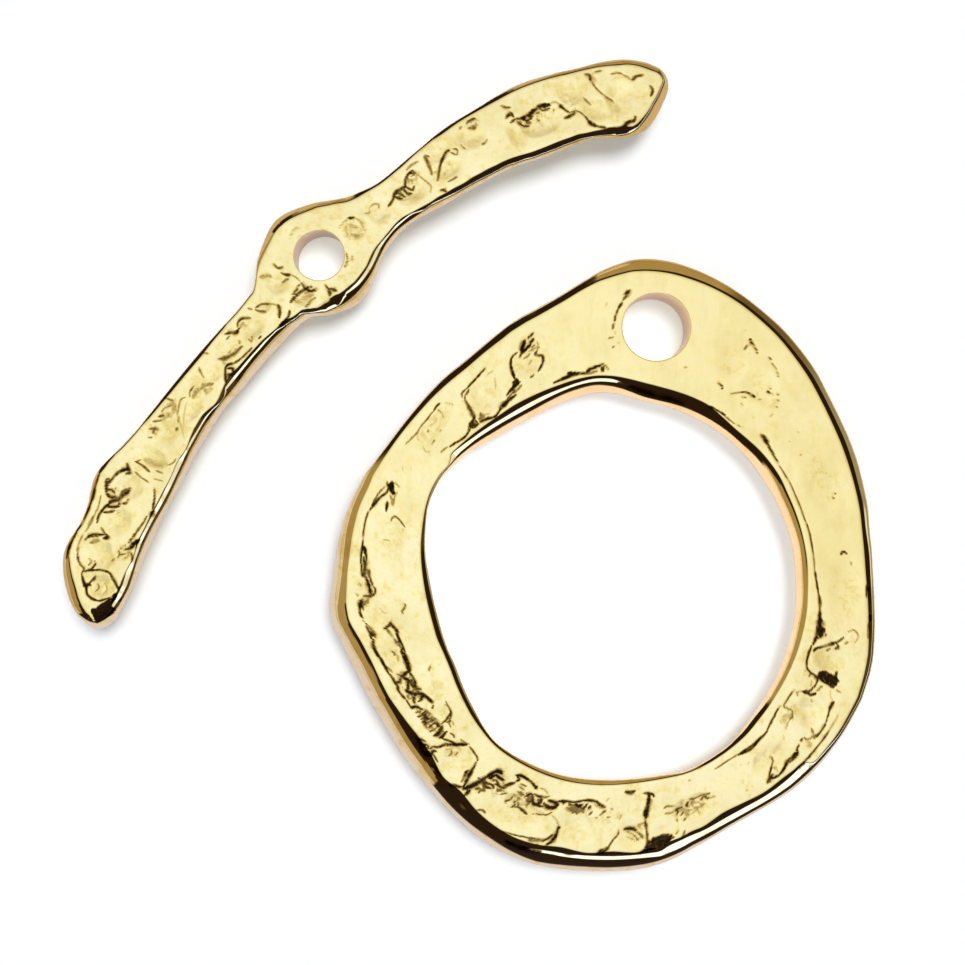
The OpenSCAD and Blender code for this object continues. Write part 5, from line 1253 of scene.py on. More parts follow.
def ring_table(rows, a):
    """Smooth values of a table of (angle, values) all round, at angles a"""
    rows = np.array(rows, float)
    key, n = rows[:, 0], len(rows)
    a = np.mod(a, 360.0)
    i = np.searchsorted(key, a, "right") - 1

    def span(k):
        return np.mod(key[(k + 1) % n] - key[k % n], 360.0)[:, None]

    t = (a - key[i])[:, None] / span(i)
    return between(rows[(i - 1) % n, 1:], rows[i, 1:], rows[(i + 1) % n, 1:], rows[(i + 2) % n, 1:],
                   span(i - 1), span(i), span(i + 1), t)


def ring_contours(rows, a):
    """Charted radii, as distances from the ring's own centre at angles a"""
    q = np.arange(0, 360, 0.2)
    charted = ring_table(rows, q)
    out = []
    for k in range(charted.shape[1]):
        p = ring_chart(np.stack([q, charted[:, k]], -1)) - (RING_X, RING_Y)
        out.append(np.interp(a, np.mod(np.degrees(np.arctan2(p[:, 1], p[:, 0])), 360), np.hypot(*p.T), period=360))
    return np.stack(out, -1)


def near_hole(x, y, hole):
    """0 round a hole, rising to 1 away from it"""
    return smooth(0.18, 0.75, np.hypot(x - hole[0], y - hole[1]) - hole[2])


def build_ring():
    a = np.r_[np.arange(94.0, 350.0, 0.33), np.arange(350.0, 453.8, 0.45)]
    way = np.stack([np.cos(np.radians(a)), np.sin(np.radians(a))], -1)
    r_out = ring_table(RING_ROWS, a)[:, 0]

    def lean(r):
        return ((RING_X + r * way[:, 0] - EYE[0]) * way[:, 0] + (RING_Y + r * way[:, 1] - EYE[1]) * way[:, 1]) / EYE[2]

    outer = ring_contours(RING_OUTER, a)
    last = outer[:, 4]
    k_out, s_out, d_out = edge_profile(last[:, None] - outer[:, 3::-1], lean(r_out), "outer")
    # from the rim of the rounding the side swells out along the line of sight to its widest line
    deep = np.clip((r_out - last) / lean(r_out), d_out + 0.08, 1.8)
    r_wide = np.minimum(last + lean(r_out) * deep, r_out)
    r_rim = np.minimum(last + lean(r_out) * d_out, r_wide - 0.003)
    inner = ring_contours(RING_INNER, a)
    seen = inner[:, 4]
    k_in, s_in, d_in = edge_profile(inner[:, 3::-1] - seen[:, None], lean(seen), "inner")
    r_in = seen + lean(seen) * d_in
    top = THICK - BASE
    z_out, z_in = np.maximum(top - d_out, 0.5), np.maximum(top - d_in, 0.5)
    z_wide = top - deep
    low, low2 = np.linspace(1, 0, 6, endpoint=False), np.linspace(1, 0, 3, endpoint=False)
    c_out = edge_columns(k_out, s_out, (6, 2, 3, 3, 3))
    c_in = edge_columns(k_in, s_in, (4, 1, 2, 2, 3))
    r1, r2 = r_rim - k_out[:, 5], r_in + k_in[:, 5]
    cols = 50
    f = (np.arange(1, cols) / cols)[None]
    mid = r1[:, None] + (r2 - r1)[:, None] * f
    flat = np.full(mid.shape, top)
    z_edge = np.maximum(top - fall(c_out, k_out[:, None], s_out[:, None]), z_out[:, None])
    z_edge2 = np.maximum(top - fall(c_in, k_in[:, None], s_in[:, None]), z_in[:, None])
    belly = np.array([0.0, 0.34, 0.67])
    rad = np.hstack([r_wide[:, None] - UNDER * low ** 1.15, r_wide[:, None] + (r_rim - r_wide)[:, None] * belly,
                     r_rim[:, None] - c_out, mid,
                     (r_in[:, None] + c_in)[:, ::-1], (r_in[:, None] + UNDER * low2 ** 1.15)[:, ::-1]])
    z = np.hstack([z_wide[:, None] * (1 - low), z_wide[:, None] + (z_out - z_wide)[:, None] * belly, z_edge, flat,
                   z_edge2[:, ::-1], (z_in[:, None] * (1 - low2))[:, ::-1]])
    above = np.zeros(z.shape)
    above[:, len(low) + len(belly):z.shape[1] - len(low2)] = 1
    from_out, from_in = r_rim[:, None] - rad, rad - r_in[:, None]
    lid = above * smooth(k_out[:, 3:4], k_out[:, 5:6] + 0.04, from_out) * smooth(k_in[:, 3:4], k_in[:, 5:6] + 0.04, from_in)
    broad = above * smooth(0, 0.7, from_out - k_out[:, 5:6]) * smooth(0, 0.7, from_in - k_in[:, 5:6])
    x, y = RING_X + rad * way[:, 0:1], RING_Y + rad * way[:, 1:2]
    px, py = x.ravel(), y.ravel()
    clear = near_hole(px, py, RING_HOLE)
    drop, _, _ = ring_relief(px, py)
    z = z - (drop * lid.ravel() * clear + waves(px, py, ring_worn(px, py), 21) * broad.ravel() * clear).reshape(z.shape)
    # slight unevenness of the sides under the widest line
    swell = 0.03 * np.abs(cloud(a[:, None] / 9 + 0 * z, z / 1.2, 51, 2)) * smooth(0.0, 0.5, z) * (1 - above)
    swell[:, len(low):len(low) + len(belly)] *= 1 - belly
    half = z.shape[1] // 2
    sign = np.where(np.arange(z.shape[1]) < half, -1.0, 1.0)[None]
    rad = rad + sign * swell
    x, y = RING_X + rad * way[:, 0:1], RING_Y + rad * way[:, 1:2]
    bend = np.hstack([np.full((len(a), len(low) + len(belly)), 0.7), turned(c_out, k_out[:, None]), np.zeros(mid.shape),
                      turned(c_in, k_in[:, None])[:, ::-1], np.full((len(a), len(low2)), 0.7)])
    n, m = z.shape
    i, j = np.meshgrid(np.arange(n), np.arange(m), indexing="ij")
    i2, j2 = (i + 1) % n, (j + 1) % m
    faces = np.stack([i * m + j, i2 * m + j, i2 * m + j2, i * m + j2], -1).reshape(-1, 4)
    verts = np.stack([x, y, z], -1).reshape(-1, 3)
    return make_mesh("hammered_ring", verts, faces), (verts, bend.ravel())


def bar_outline(u):
    """Points of the bar's outline at places u round its loop of rows"""
    rows = np.array(BAR_ROWS)
    loop = np.vstack([[BAR_TAIL], rows[:, :3], [BAR_HEAD], rows[::-1, 3:]])[:, :2]
    n = len(loop)
    i = np.floor(u).astype(int)
    t = (u - i)[:, None]

    def at(k):
        return loop[k % n]

    def gap(k):
        return np.hypot(*(at(k + 1) - at(k)).T)[:, None]

    return between(at(i - 1), at(i), at(i + 1), at(i + 2), gap(i - 1), gap(i), gap(i + 1), t), n


def chain_distance(px, py, chain, window=4000):
    """Distance from points to a chain of rows (x, y, values), and the values at the nearest place"""
    best = np.full(px.shape, 1e9)
    value = np.zeros((len(px), chain.shape[1] - 2))
    ax, ay = chain[:-1, :2].T
    bx, by = chain[1:, :2].T
    l2 = np.maximum((bx - ax) ** 2 + (by - ay) ** 2, 1e-12)
    for s in range(0, len(px), window):
        x, y = px[s:s + window, None], py[s:s + window, None]
        t = np.clip(((x - ax) * (bx - ax) + (y - ay) * (by - ay)) / l2, 0, 1)
        d = (x - ax - t * (bx - ax)) ** 2 + (y - ay - t * (by - ay)) ** 2
        k = d.argmin(1)
        r = np.arange(len(k))
        best[s:s + window] = np.sqrt(d[r, k])
        value[s:s + window] = chain[k, 2:] + (chain[k + 1, 2:] - chain[k, 2:]) * t[r, k][:, None]
    return best, value


def bar_contours():
    """Closed lines on the bar's top where its slope reaches each glance angle, 90 first"""
    left, right = np.array(BAR_LEFT, float), np.array(BAR_RIGHT, float)
    span = left[:, 2] - left[:, 1]
    lines = []
    for k, part in ((3, 1.0), (2, 0.75), (1, 0.35), (0, 0.0)):
        tail, head = BAR_TIPS[0][k], BAR_TIPS[1][k]
        a = np.stack([left[:, 0], left[:, 1] + span * part], -1)
        b = np.stack([right[:, 0], -right[:, 1 + k]], -1)[::-1]
        pts = bar_chart(np.vstack([[tail], a, [head], b, [tail]]))
        lines.append(rounded(pts, 3))
    return lines


def build_bar():
    cols, spacing = 40, 0.047
    rows = len(BAR_ROWS)
    last = rows + 1
    fine = np.linspace(0, last, last * 60 + 1)
    left, n = bar_outline(fine)
    right, _ = bar_outline(np.mod(n - fine, n))
    step = 0.5 * (np.hypot(*np.diff(left, axis=0).T) + np.hypot(*np.diff(right, axis=0).T))
    run = np.r_[0, np.cumsum(step)]
    count = int(run[-1] / spacing)
    u = np.interp(np.linspace(0, run[-1], count + 1), run, fine)
    left, _ = bar_outline(u)
    right, _ = bar_outline(np.mod(n - u, n))
    left[0] = right[0] = BAR_TAIL[:2]
    left[-1] = right[-1] = BAR_HEAD[:2]
    loop = np.vstack([left, right[-2:0:-1]])
    nl = len(loop)
    ahead = np.roll(loop, -3, axis=0) - np.roll(loop, 3, axis=0)
    ahead /= np.hypot(*ahead.T)[:, None]
    out = np.stack([-ahead[:, 1], ahead[:, 0]], -1)
    lean = ((loop - EYE[:2]) * out).sum(1) / EYE[2]
    room = np.stack([chain_distance(loop[:, 0], loop[:, 1], np.hstack([c, 0 * c[:, :1]]))[0] for c in bar_contours()], -1)
    knots, sines, drops = edge_profile(room, lean, "outline")
    top = THICK - BASE
    rim = np.maximum(top - drops, 0.5)
    t = np.linspace(1, 0, 7)
    low_in = UNDER * t ** 1.15 + 0 * rim[:, None]
    low_z = rim[:, None] * (1 - t)
    # sides: rings of points from the underside up to the widest line
    k = low_in.shape[1]
    swell = 0.03 * np.abs(cloud(np.arange(nl)[:, None] / 24.0 + 0 * low_z, low_z / 1.2, 61, 2)) * smooth(0.0, 0.5, low_z)
    swell[:, -1] = 0
    sx = loop[:, 0:1] - out[:, 0:1] * (low_in + swell)
    sy = loop[:, 1:2] - out[:, 1:2] * (low_in + swell)
    side = np.stack([sx, sy, low_z], -1)
    # top: rungs from the left side to the right side
    wide = np.maximum(np.hypot(*(right - left).T), 1e-6)[:, None]
    lk = np.arange(count + 1)
    rk = np.mod(nl - lk, nl)
    rk[0], rk[-1] = 0, count
    counts = (6, 2, 3, 3, 3)
    el, er = edge_columns(knots[lk], sines[lk], counts) / wide, edge_columns(knots[rk], sines[rk], counts) / wide
    squeeze = np.minimum(1.0, 0.88 / (el[:, -1:] + er[:, -1:]))
    el, er = el * squeeze, er * squeeze
    mid = (np.arange(1, cols) / cols)[None]
    f = np.hstack([el, el[:, -1:] + (1 - er[:, -1:] - el[:, -1:]) * mid, 1 - er[:, ::-1]])
    m = f.shape[1]
    tx = left[:, 0:1] + (right - left)[:, 0:1] * f
    ty = left[:, 1:2] + (right - left)[:, 1:2] * f
    inner = slice(1, count)
    px, py = tx[inner].ravel(), ty[inner].ravel()
    values = np.hstack([loop, knots, sines])
    chains = (values[lk], values[rk])

    def crown(chain):
        d, v = chain_distance(px, py, chain)
        kn, si = v[:, :6], v[:, 6:]
        return fall(d, kn, si), smooth(kn[:, 3], kn[:, 5] + 0.04, d), smooth(0, 0.6, d - kn[:, 5]), turned(d, kn)

    fl, lid_l, broad_l, bend_l = crown(chains[0])
    fr, lid_r, broad_r, bend_r = crown(chains[1])
    lid = lid_l * lid_r
    clear = near_hole(px, py, BAR_HOLE)
    drop, _, _ = bar_relief(px, py)
    level = top - np.maximum(fl, fr) - lid * drop * clear - waves(px, py, 1.0, 27) * broad_l * broad_r * clear
    level = np.maximum(level, 0.5).reshape(count - 1, m)
    # the outline points are shared with the sides
    bend_side = np.full((nl, k), 0.7)
    bend_side[:, -1] = TURNS[0] / 180
    bend = [bend_side.ravel(), np.maximum(bend_l, bend_r).reshape(count - 1, m)[:, 1:-1].ravel()]
    verts = [side.reshape(-1, 3)]
    base = nl * k
    verts.append(np.stack([tx[inner, 1:-1], ty[inner, 1:-1], level[:, 1:-1]], -1).reshape(-1, 3))
    index = np.zeros((count + 1, m), int)
    index[0, :] = k - 1
    index[count, :] = count * k + k - 1
    rung = np.arange(1, count)
    index[inner, 0] = rung * k + k - 1
    index[inner, -1] = (nl - rung) * k + k - 1
    index[inner, 1:-1] = base + (rung - 1)[:, None] * (m - 2) + np.arange(m - 2)[None]
    a, b, c, d = index[:-1, :-1], index[1:, :-1], index[1:, 1:], index[:-1, 1:]
    faces = [np.stack([a, b, c, d], -1).reshape(-1, 4)]
    i, j = np.meshgrid(np.arange(nl), np.arange(k - 1), indexing="ij")
    i2 = (i + 1) % nl
    faces.append(np.stack([i * k + j, i2 * k + j, i2 * k + j + 1, i * k + j + 1], -1).reshape(-1, 4))
    under = np.zeros((count + 1, 2), int)
    under[:, 0] = np.arange(count + 1) * k
    under[inner, 1] = (nl - rung) * k
    under[0, 1], under[count, 1] = 0, count * k
    faces.append(np.stack([under[:-1, 0], under[:-1, 1], under[1:, 1], under[1:, 0]], -1))
    faces = np.vstack(faces)
    same = (faces == np.roll(faces, -1, axis=1)).any(1)
    tidy = []
    for q in faces[same]:
        keep = [q[s] for s in range(4) if q[s] != q[(s + 1) % 4]]
        if len(keep) == 3:
            tidy.append(keep + [-1])
    verts = np.vstack(verts)
    return make_mesh("hammered_bar", verts, np.vstack([faces[~same], np.array(tidy)])), (verts, np.concatenate(bend))


def drill(obj, hole, wide=1.0, flare=0.0):
    """Cuts a round hole right through, with a rounded upper rim, and a little wider below by flare"""
    x, y, r = hole
    n = 180
    knots = np.array([[0, 0.014, 0.024, 0.036, 0.048, 0.066]]) * wide
    sines = np.sin(np.radians([[88, 45, 38, 29, 20, 0]]))
    d = edge_columns(knots, sines, (4, 2, 2, 2, 3))[0]
    z = THICK - BASE - fall(d, knots, sines)
    rows = [(r + flare, -0.5), (r + flare, 0.15)] + [(r + a, b) for a, b in zip(d, z)]
    rows += [(r + d[-1] + 0.35, THICK + 0.1), (r + d[-1] + 0.35, THICK + 0.6)]
    ang = np.arange(n) / n * 2 * math.pi
    pts = [(x + q * math.cos(t), y + q * math.sin(t), h) for q, h in rows for t in ang]
    pts += [(x, y, rows[0][1]), (x, y, rows[-1][1])]
    faces = []
    for k in range(len(rows) - 1):
        for s in range(n):
            s2 = (s + 1) % n
            faces.append((k * n + s, k * n + s2, (k + 1) * n + s2, (k + 1) * n + s))
    for s in range(n):
        s2 = (s + 1) % n
        faces.append((len(pts) - 2, s2, s, -1))
        faces.append((len(pts) - 1, (len(rows) - 1) * n + s, (len(rows) - 1) * n + s2, -1))
    cutter = make_mesh("cutter", pts, faces)
    mod = obj.modifiers.new("hole", "BOOLEAN")
    mod.operation = "DIFFERENCE"
    mod.object = cutter
    mod.solver = "MANIFOLD"
    bpy.context.view_layer.update()
    fresh = bpy.data.meshes.new_from_object(obj.evaluated_get(bpy.context.evaluated_depsgraph_get()))
    obj.modifiers.clear()
    old = obj.data
    obj.data = fresh
    fresh.name = obj.name
    bpy.data.meshes.remove(old)
    bpy.data.objects.remove(cutter)


def finish_mesh(obj, read_relief, before):
    mesh = obj.data
    n = len(mesh.vertices)
    co = np.zeros(n * 3, np.float32)
    mesh.vertices.foreach_get("co", co)
    co = co.reshape(-1, 3).astype(float) / MM
    up = co[:, 2] > THICK - 0.95
    x, y = co[up, 0], co[up, 1]
    _, dark, skin = read_relief(x, y)
    # painted shade of the marks, pits, hollows and crumpled skin, with the face's faint tan tone, and how crumpled the
    # skin is
    for name, values in (("painted_shade_and_tone", dark), ("skin", skin)):
        full = np.zeros(n, np.float32)
        full[up] = values
        layer = mesh.attributes.new(name, "FLOAT", "POINT")
        layer.data.foreach_set("value", full)
    # which way each rounded edge faces, and how far it is turned over there, for the painted reflection and shade laid
    # on it
    tree = mathutils.kdtree.KDTree(len(before[0]))
    for k, point in enumerate(before[0].tolist()):
        tree.insert(point, k)
    tree.balance()
    near = np.array([tree.find(point)[1:] for point in co.tolist()])
    bend = np.where(near[:, 1] < 0.02, before[1][near[:, 0].astype(int)], 0.0)
    normal = np.zeros(n * 3, np.float32)
    mesh.vertex_normals.foreach_get("vector", normal)
    normal = normal.reshape(-1, 3).astype(float)
    way = normal[:, :2] / np.maximum(np.hypot(normal[:, 0], normal[:, 1]), 1e-6)[:, None]
    layer = mesh.attributes.new("painted_reflection_facing", "FLOAT_VECTOR", "POINT")
    layer.data.foreach_set("vector", np.hstack([way, bend[:, None]]).astype(np.float32).ravel())
    mesh.polygons.foreach_set("use_smooth", np.full(len(mesh.polygons), True))
    mesh.set_sharp_from_angle(angle=math.radians(60))
    mesh.update()
    print("MESH", obj.name, "verts", n, "tris", sum(len(p.vertices) - 2 for p in mesh.polygons))


# ---- materials ----
def node(tree, kind, **values):
    made = tree.nodes.new(kind)
    for key, value in values.items():
        setattr(made, key, value)
    return made


def ramp(tree, source, stops, mode="LINEAR"):
    made = tree.nodes.new("ShaderNodeValToRGB")
    made.color_ramp.interpolation = mode
    marks = made.color_ramp.elements
    while len(marks) > 1:
        marks.remove(marks[-1])
    marks[0].position, marks[0].color = stops[0][0], tuple(stops[0][1]) + (1,)
    for place, colour in stops[1:]:
        marks.new(place).color = tuple(colour) + (1,)
    if source is not None:
        tree.links.new(source, made.inputs[0])
    return made


def noise_node(tree, vector, scale, detail=3, roughness=0.5):
    made = node(tree, "ShaderNodeTexNoise")
    made.inputs["Scale"].default_value = scale
    made.inputs["Detail"].default_value = detail
    made.inputs["Roughness"].default_value = roughness
    tree.links.new(vector, made.inputs["Vector"])
    return made.outputs["Fac"]


def maths(tree, operation, a, b, c=None, clamp=False):
    made = node(tree, "ShaderNodeMath", operation=operation, use_clamp=clamp)
    for k, value in enumerate((a, b, c)):
        if value is None:
            continue
        if isinstance(value, (int, float)):
            made.inputs[k].default_value = value
        else:
            tree.links.new(value, made.inputs[k])
    return made.outputs[0]


def multiply(tree, a, b, factor=1.0):
    mix = node(tree, "ShaderNodeMix", data_type="RGBA", blend_type="MULTIPLY")
    mix.inputs["Factor"].default_value = factor
    tree.links.new(a, mix.inputs[6])
    tree.links.new(b, mix.inputs[7])
    return mix.outputs[2]


def gold_material():
    mat = bpy.data.materials.new("plated_gold")
    mat.use_nodes = True
    tree = mat.node_tree
    tree.nodes.clear()
    link = tree.links.new
    out = node(tree, "ShaderNodeOutputMaterial")
    shader = node(tree, "ShaderNodeBsdfPrincipled")
    link(shader.outputs[0], out.inputs[0])
    shader.inputs["Metallic"].default_value = 1.0
    place = node(tree, "ShaderNodeNewGeometry").outputs["Position"]
    shade_and_tone = node(tree, "ShaderNodeAttribute", attribute_name="painted_shade_and_tone").outputs["Fac"]
    skin = node(tree, "ShaderNodeAttribute", attribute_name="skin").outputs["Fac"]
    # painted shade held in the marks, pits and hollows, with the faint tan tone of the hammered face, its edges broken
    # up by a fine grit, and painted specks of shade where the skin is crumpled
    grit = noise_node(tree, place, 11000, 2, 0.6)
    broken = maths(tree, "MULTIPLY_ADD", grit, 0.9, 0.62)
    marked = maths(tree, "MULTIPLY", shade_and_tone, broken)
    speck = noise_node(tree, place, 7600, 3, 0.65)
    lifted = maths(tree, "MULTIPLY_ADD", speck, 5.0, -2.75, True)
    specks = maths(tree, "MULTIPLY", lifted, maths(tree, "MULTIPLY", skin, 0.62))
    total = maths(tree, "MAXIMUM", marked, specks, None, True)
    tint = ramp(tree, total, [
        (0.0, (1.0, 0.925, 0.575)), (0.07, (0.975, 0.86, 0.435)), (0.15, (0.87, 0.72, 0.325)), (0.27, (0.61, 0.475, 0.19)),
        (0.45, (0.28, 0.195, 0.06)), (0.68, (0.075, 0.045, 0.014)), (0.9, (0.020, 0.011, 0.006))])
    # clouding of the plating, and drawn-out streaks across the bar's run
    haze = noise_node(tree, place, 480, 4, 0.55)
    warm = ramp(tree, haze, [(0.30, (0.93, 0.905, 0.80)), (0.44, (0.97, 0.96, 0.905)), (0.56, (1.0, 0.998, 0.975)), (0.70, (1.0, 1.0, 1.05))])
    turn = node(tree, "ShaderNodeMapping")
    turn.inputs["Rotation"].default_value = (0, 0, math.radians(-50))
    turn.inputs["Scale"].default_value = (1.0, 0.3, 1.0)
    link(place, turn.inputs["Vector"])
    streak = noise_node(tree, turn.outputs[0], 1900, 3, 0.6)
    drawn = ramp(tree, streak, [(0.30, (0.95, 0.94, 0.88)), (0.50, (1.0, 1.0, 1.0)), (0.72, (1.0, 0.99, 0.965))])
    colour = multiply(tree, multiply(tree, tint.outputs[0], warm.outputs[0]), drawn.outputs[0])
    # painted reflection and shade on the rounded edges: dark bands and browns of the surroundings, by which way each
    # edge faces and how far it is turned
    split = node(tree, "ShaderNodeSeparateXYZ")
    link(node(tree, "ShaderNodeAttribute", attribute_name="painted_reflection_facing").outputs["Vector"], split.inputs[0])
    turn = maths(tree, "ARCTAN2", split.outputs["Y"], split.outputs["X"])
    whole = maths(tree, "FLOORED_MODULO", maths(tree, "MULTIPLY", turn, 180 / math.pi), 360)
    colour = multiply(tree, colour, by_side(tree, whole, split.outputs["Z"], 180, 1))
    link(colour, shader.inputs["Base Color"])
    rough = maths(tree, "MULTIPLY_ADD", total, 0.30, maths(tree, "MULTIPLY_ADD", haze, 0.05, 0.05))
    link(rough, shader.inputs["Roughness"])
    # bump: crumpled skin where the hammer struck, and a fine pebble all over
    pebble = noise_node(tree, place, 5200, 4)
    strength = maths(tree, "MULTIPLY_ADD", skin, 0.8, 0.045)
    bump = node(tree, "ShaderNodeBump")
    bump.inputs["Distance"].default_value = 0.00003
    link(strength, bump.inputs["Strength"])
    link(pebble, bump.inputs["Height"])
    link(bump.outputs[0], shader.inputs["Normal"])
    return mat


def floor_material():
    """A pale floor. Rays that glance off the metal find it warmer and glowing, and browner beyond the ring's right and
    the bar's left: painted reflection colours for the metal's sides."""
    mat = bpy.data.materials.new("pale_floor")
    mat.use_nodes = True
    tree = mat.node_tree
    tree.nodes.clear()
    link = tree.links.new
    out = node(tree, "ShaderNodeOutputMaterial")
    white = node(tree, "ShaderNodeBsdfDiffuse")
    white.inputs["Color"].default_value = (0.865, 0.88, 0.91, 1)
    glow = node(tree, "ShaderNodeEmission")
    glow.inputs["Color"].default_value = (0.90, 0.93, 1.0, 1)
    lit = node(tree, "ShaderNodeAddShader")
    link(white.outputs[0], lit.inputs[0])
    link(glow.outputs[0], lit.inputs[1])
    place = node(tree, "ShaderNodeSeparateXYZ")
    link(node(tree, "ShaderNodeNewGeometry").outputs["Position"], place.inputs[0])

    def beyond(across, up, start, end):
        run = maths(tree, "MULTIPLY_ADD", place.outputs["X"], across, maths(tree, "MULTIPLY", place.outputs["Y"], up))
        step = node(tree, "ShaderNodeMapRange", interpolation_type="SMOOTHSTEP")
        link(run, step.inputs["Value"])
        step.inputs["From Min"].default_value = start
        step.inputs["From Max"].default_value = end
        return step.outputs["Result"]

    def disc(x, y, start, end):
        dx = maths(tree, "MULTIPLY_ADD", place.outputs["X"], 1.0, -x)
        dy = maths(tree, "MULTIPLY_ADD", place.outputs["Y"], 1.0, -y)
        far2 = maths(tree, "MULTIPLY_ADD", dx, dx, maths(tree, "MULTIPLY", dy, dy))
        step = node(tree, "ShaderNodeMapRange", interpolation_type="SMOOTHSTEP")
        link(maths(tree, "SQRT", far2, 0.0), step.inputs["Value"])
        step.inputs["From Min"].default_value = end
        step.inputs["From Max"].default_value = start
        return step.outputs["Result"]

    # painted light: the floor glows brighter where it is walled in, inside the ring and in the two holes, so it stays
    # bright there
    walled = maths(tree, "MAXIMUM", disc(0.00645, -0.0048, 0.0088, 0.0102),
                   maths(tree, "MAXIMUM", disc(0.00832, 0.00632, 0.0015, 0.0021), disc(-0.00669, 0.0095, 0.0012, 0.0017)))
    link(maths(tree, "MULTIPLY_ADD", walled, 0.30, 0.06), glow.inputs["Strength"])
    # painted reflection: the floor seen in the metal is tinted, browner beyond the ring's right and the bar's left
    brown = maths(tree, "MAXIMUM", beyond(0.766, 0.643, 0.0098, 0.0140), beyond(-0.75, 0.66, 0.0090, 0.0125))
    shade = ramp(tree, maths(tree, "SUBTRACT", maths(tree, "MULTIPLY_ADD", brown, 0.5, 0.5), maths(tree, "MULTIPLY", walled, 0.5)),
                 [(0.0, (0.70, 0.55, 0.58)), (0.5, (0.50, 0.43, 0.50)), (1.0, (0.40, 0.29, 0.20))])
    far = node(tree, "ShaderNodeBsdfDiffuse")
    link(shade.outputs[0], far.inputs["Color"])
    soft = node(tree, "ShaderNodeEmission")
    link(shade.outputs[0], soft.inputs["Color"])
    soft.inputs["Strength"].default_value = 0.42
    bent = node(tree, "ShaderNodeAddShader")
    link(far.outputs[0], bent.inputs[0])
    link(soft.outputs[0], bent.inputs[1])
    path = node(tree, "ShaderNodeLightPath")
    both = node(tree, "ShaderNodeMixShader")
    link(path.outputs["Is Glossy Ray"], both.inputs[0])
    link(lit.outputs[0], both.inputs[1])
    link(bent.outputs[0], both.inputs[2])
    link(both.outputs[0], out.inputs[0])
    return mat


# The studio: a broad soft light overhead, dark flags and a pale strip low down around it.
# Each shade is the light's colour and a painted reflection tint, multiplied into the colour of a rounded edge that
# faces it.
# Each row is a direction round the horizon, the shades in three bands under the
# overhead light, the angles from straight up where the first and the second band end, and how
# much brighter the overhead light's skirt is on that side.
STRIPE = ((1.25, 1.34, 1.85), (1, 1, 1))
SHEEN = ((0.88, 0.85, 0.92), (1, 1, 1))
DARK = ((0.64, 0.57, 0.43), (0.034, 0.020, 0.016))
DUSK = ((0.64, 0.57, 0.43), (0.110, 0.074, 0.042))
UMBER = ((0.64, 0.57, 0.44), (0.250, 0.175, 0.102))
BROWN = ((0.70, 0.63, 0.50), (0.585, 0.437, 0.250))
BEIGE = ((0.74, 0.58, 0.58), (1, 1, 1))
GREY = ((0.68, 0.63, 0.54), (0.50, 0.46, 0.408))
TURNED_BY = ((0, 60, 105, 150, 212, 231, 245, 256.5, 259.5, 300, 329, 351, 360),
             (-5, -7, -5, 3, 9, 9.5, 7, 0, 0, 0, -3, -4, -5))
AROUND = [
    (0, DARK, SHEEN, GREY, 54, 76, (0.98, 0.95, 0.90)),
    (9, DARK, GREY, GREY, 58, 80, (0.97, 0.94, 0.88)),
    (45, DARK, UMBER, UMBER, 57, 80, (0.96, 0.93, 0.86)),
    (60, DARK, BROWN, BROWN, 54, 84, (0.98, 0.97, 0.94)),
    (90, DARK, BROWN, BROWN, 52, 84, (1.02, 1.03, 1.10)),
    (105, DARK, BROWN, BEIGE, 52, 80, (1.02, 1.03, 1.10)),
    (118, DARK, DARK, DARK, 60, 80, (1.02, 1.03, 1.10)),
    (146, DARK, DARK, DARK, 60, 80, (1.04, 1.05, 1.10)),
    (153, BROWN, BROWN, BEIGE, 60, 80, (1.08, 1.10, 1.10)),
    (185, BROWN, BROWN, BEIGE, 60, 80, (1.08, 1.12, 1.12)),
    (195, DARK, BROWN, BEIGE, 48, 84, (1.08, 1.13, 1.14)),
    (212, DARK, BROWN, BEIGE, 49, 84, (1.08, 1.13, 1.18)),
    (217, DARK, BROWN, BEIGE, 55, 82, (1.08, 1.13, 1.20)),
    (224, DARK, BROWN, BEIGE, 60, 80, (1.08, 1.13, 1.22)),
    (231, DARK, DARK, DARK, 60, 80, (1.08, 1.13, 1.25)),
    (256.5, DARK, DARK, DARK, 60, 80, (1.10, 1.16, 1.40)),
    (259.5, DARK, STRIPE, DARK, 53.5, 74, (1.12, 1.19, 1.50)),
    (320, DARK, STRIPE, DARK, 53.5, 74, (1.10, 1.15, 1.40)),
    (329, DUSK, SHEEN, DUSK, 53, 75, (1.04, 1.05, 1.10)),
    (351, DUSK, SHEEN, DUSK, 53, 75, (1.0, 0.98, 0.95)),
]
# angle from straight up, colour, and how much of the side's brightness counts there
OVERHEAD = [(0, (1.02, 1.02, 1.02), 0), (5, (1.01, 1.005, 0.985), 0), (10, (0.985, 0.965, 0.91), 0.1), (15, (0.955, 0.925, 0.84), 0.3),
            (20, (0.915, 0.87, 0.755), 0.7), (26, (0.85, 0.795, 0.65), 1), (32, (0.72, 0.65, 0.49), 1), (39, (0.68, 0.61, 0.46), 1)]


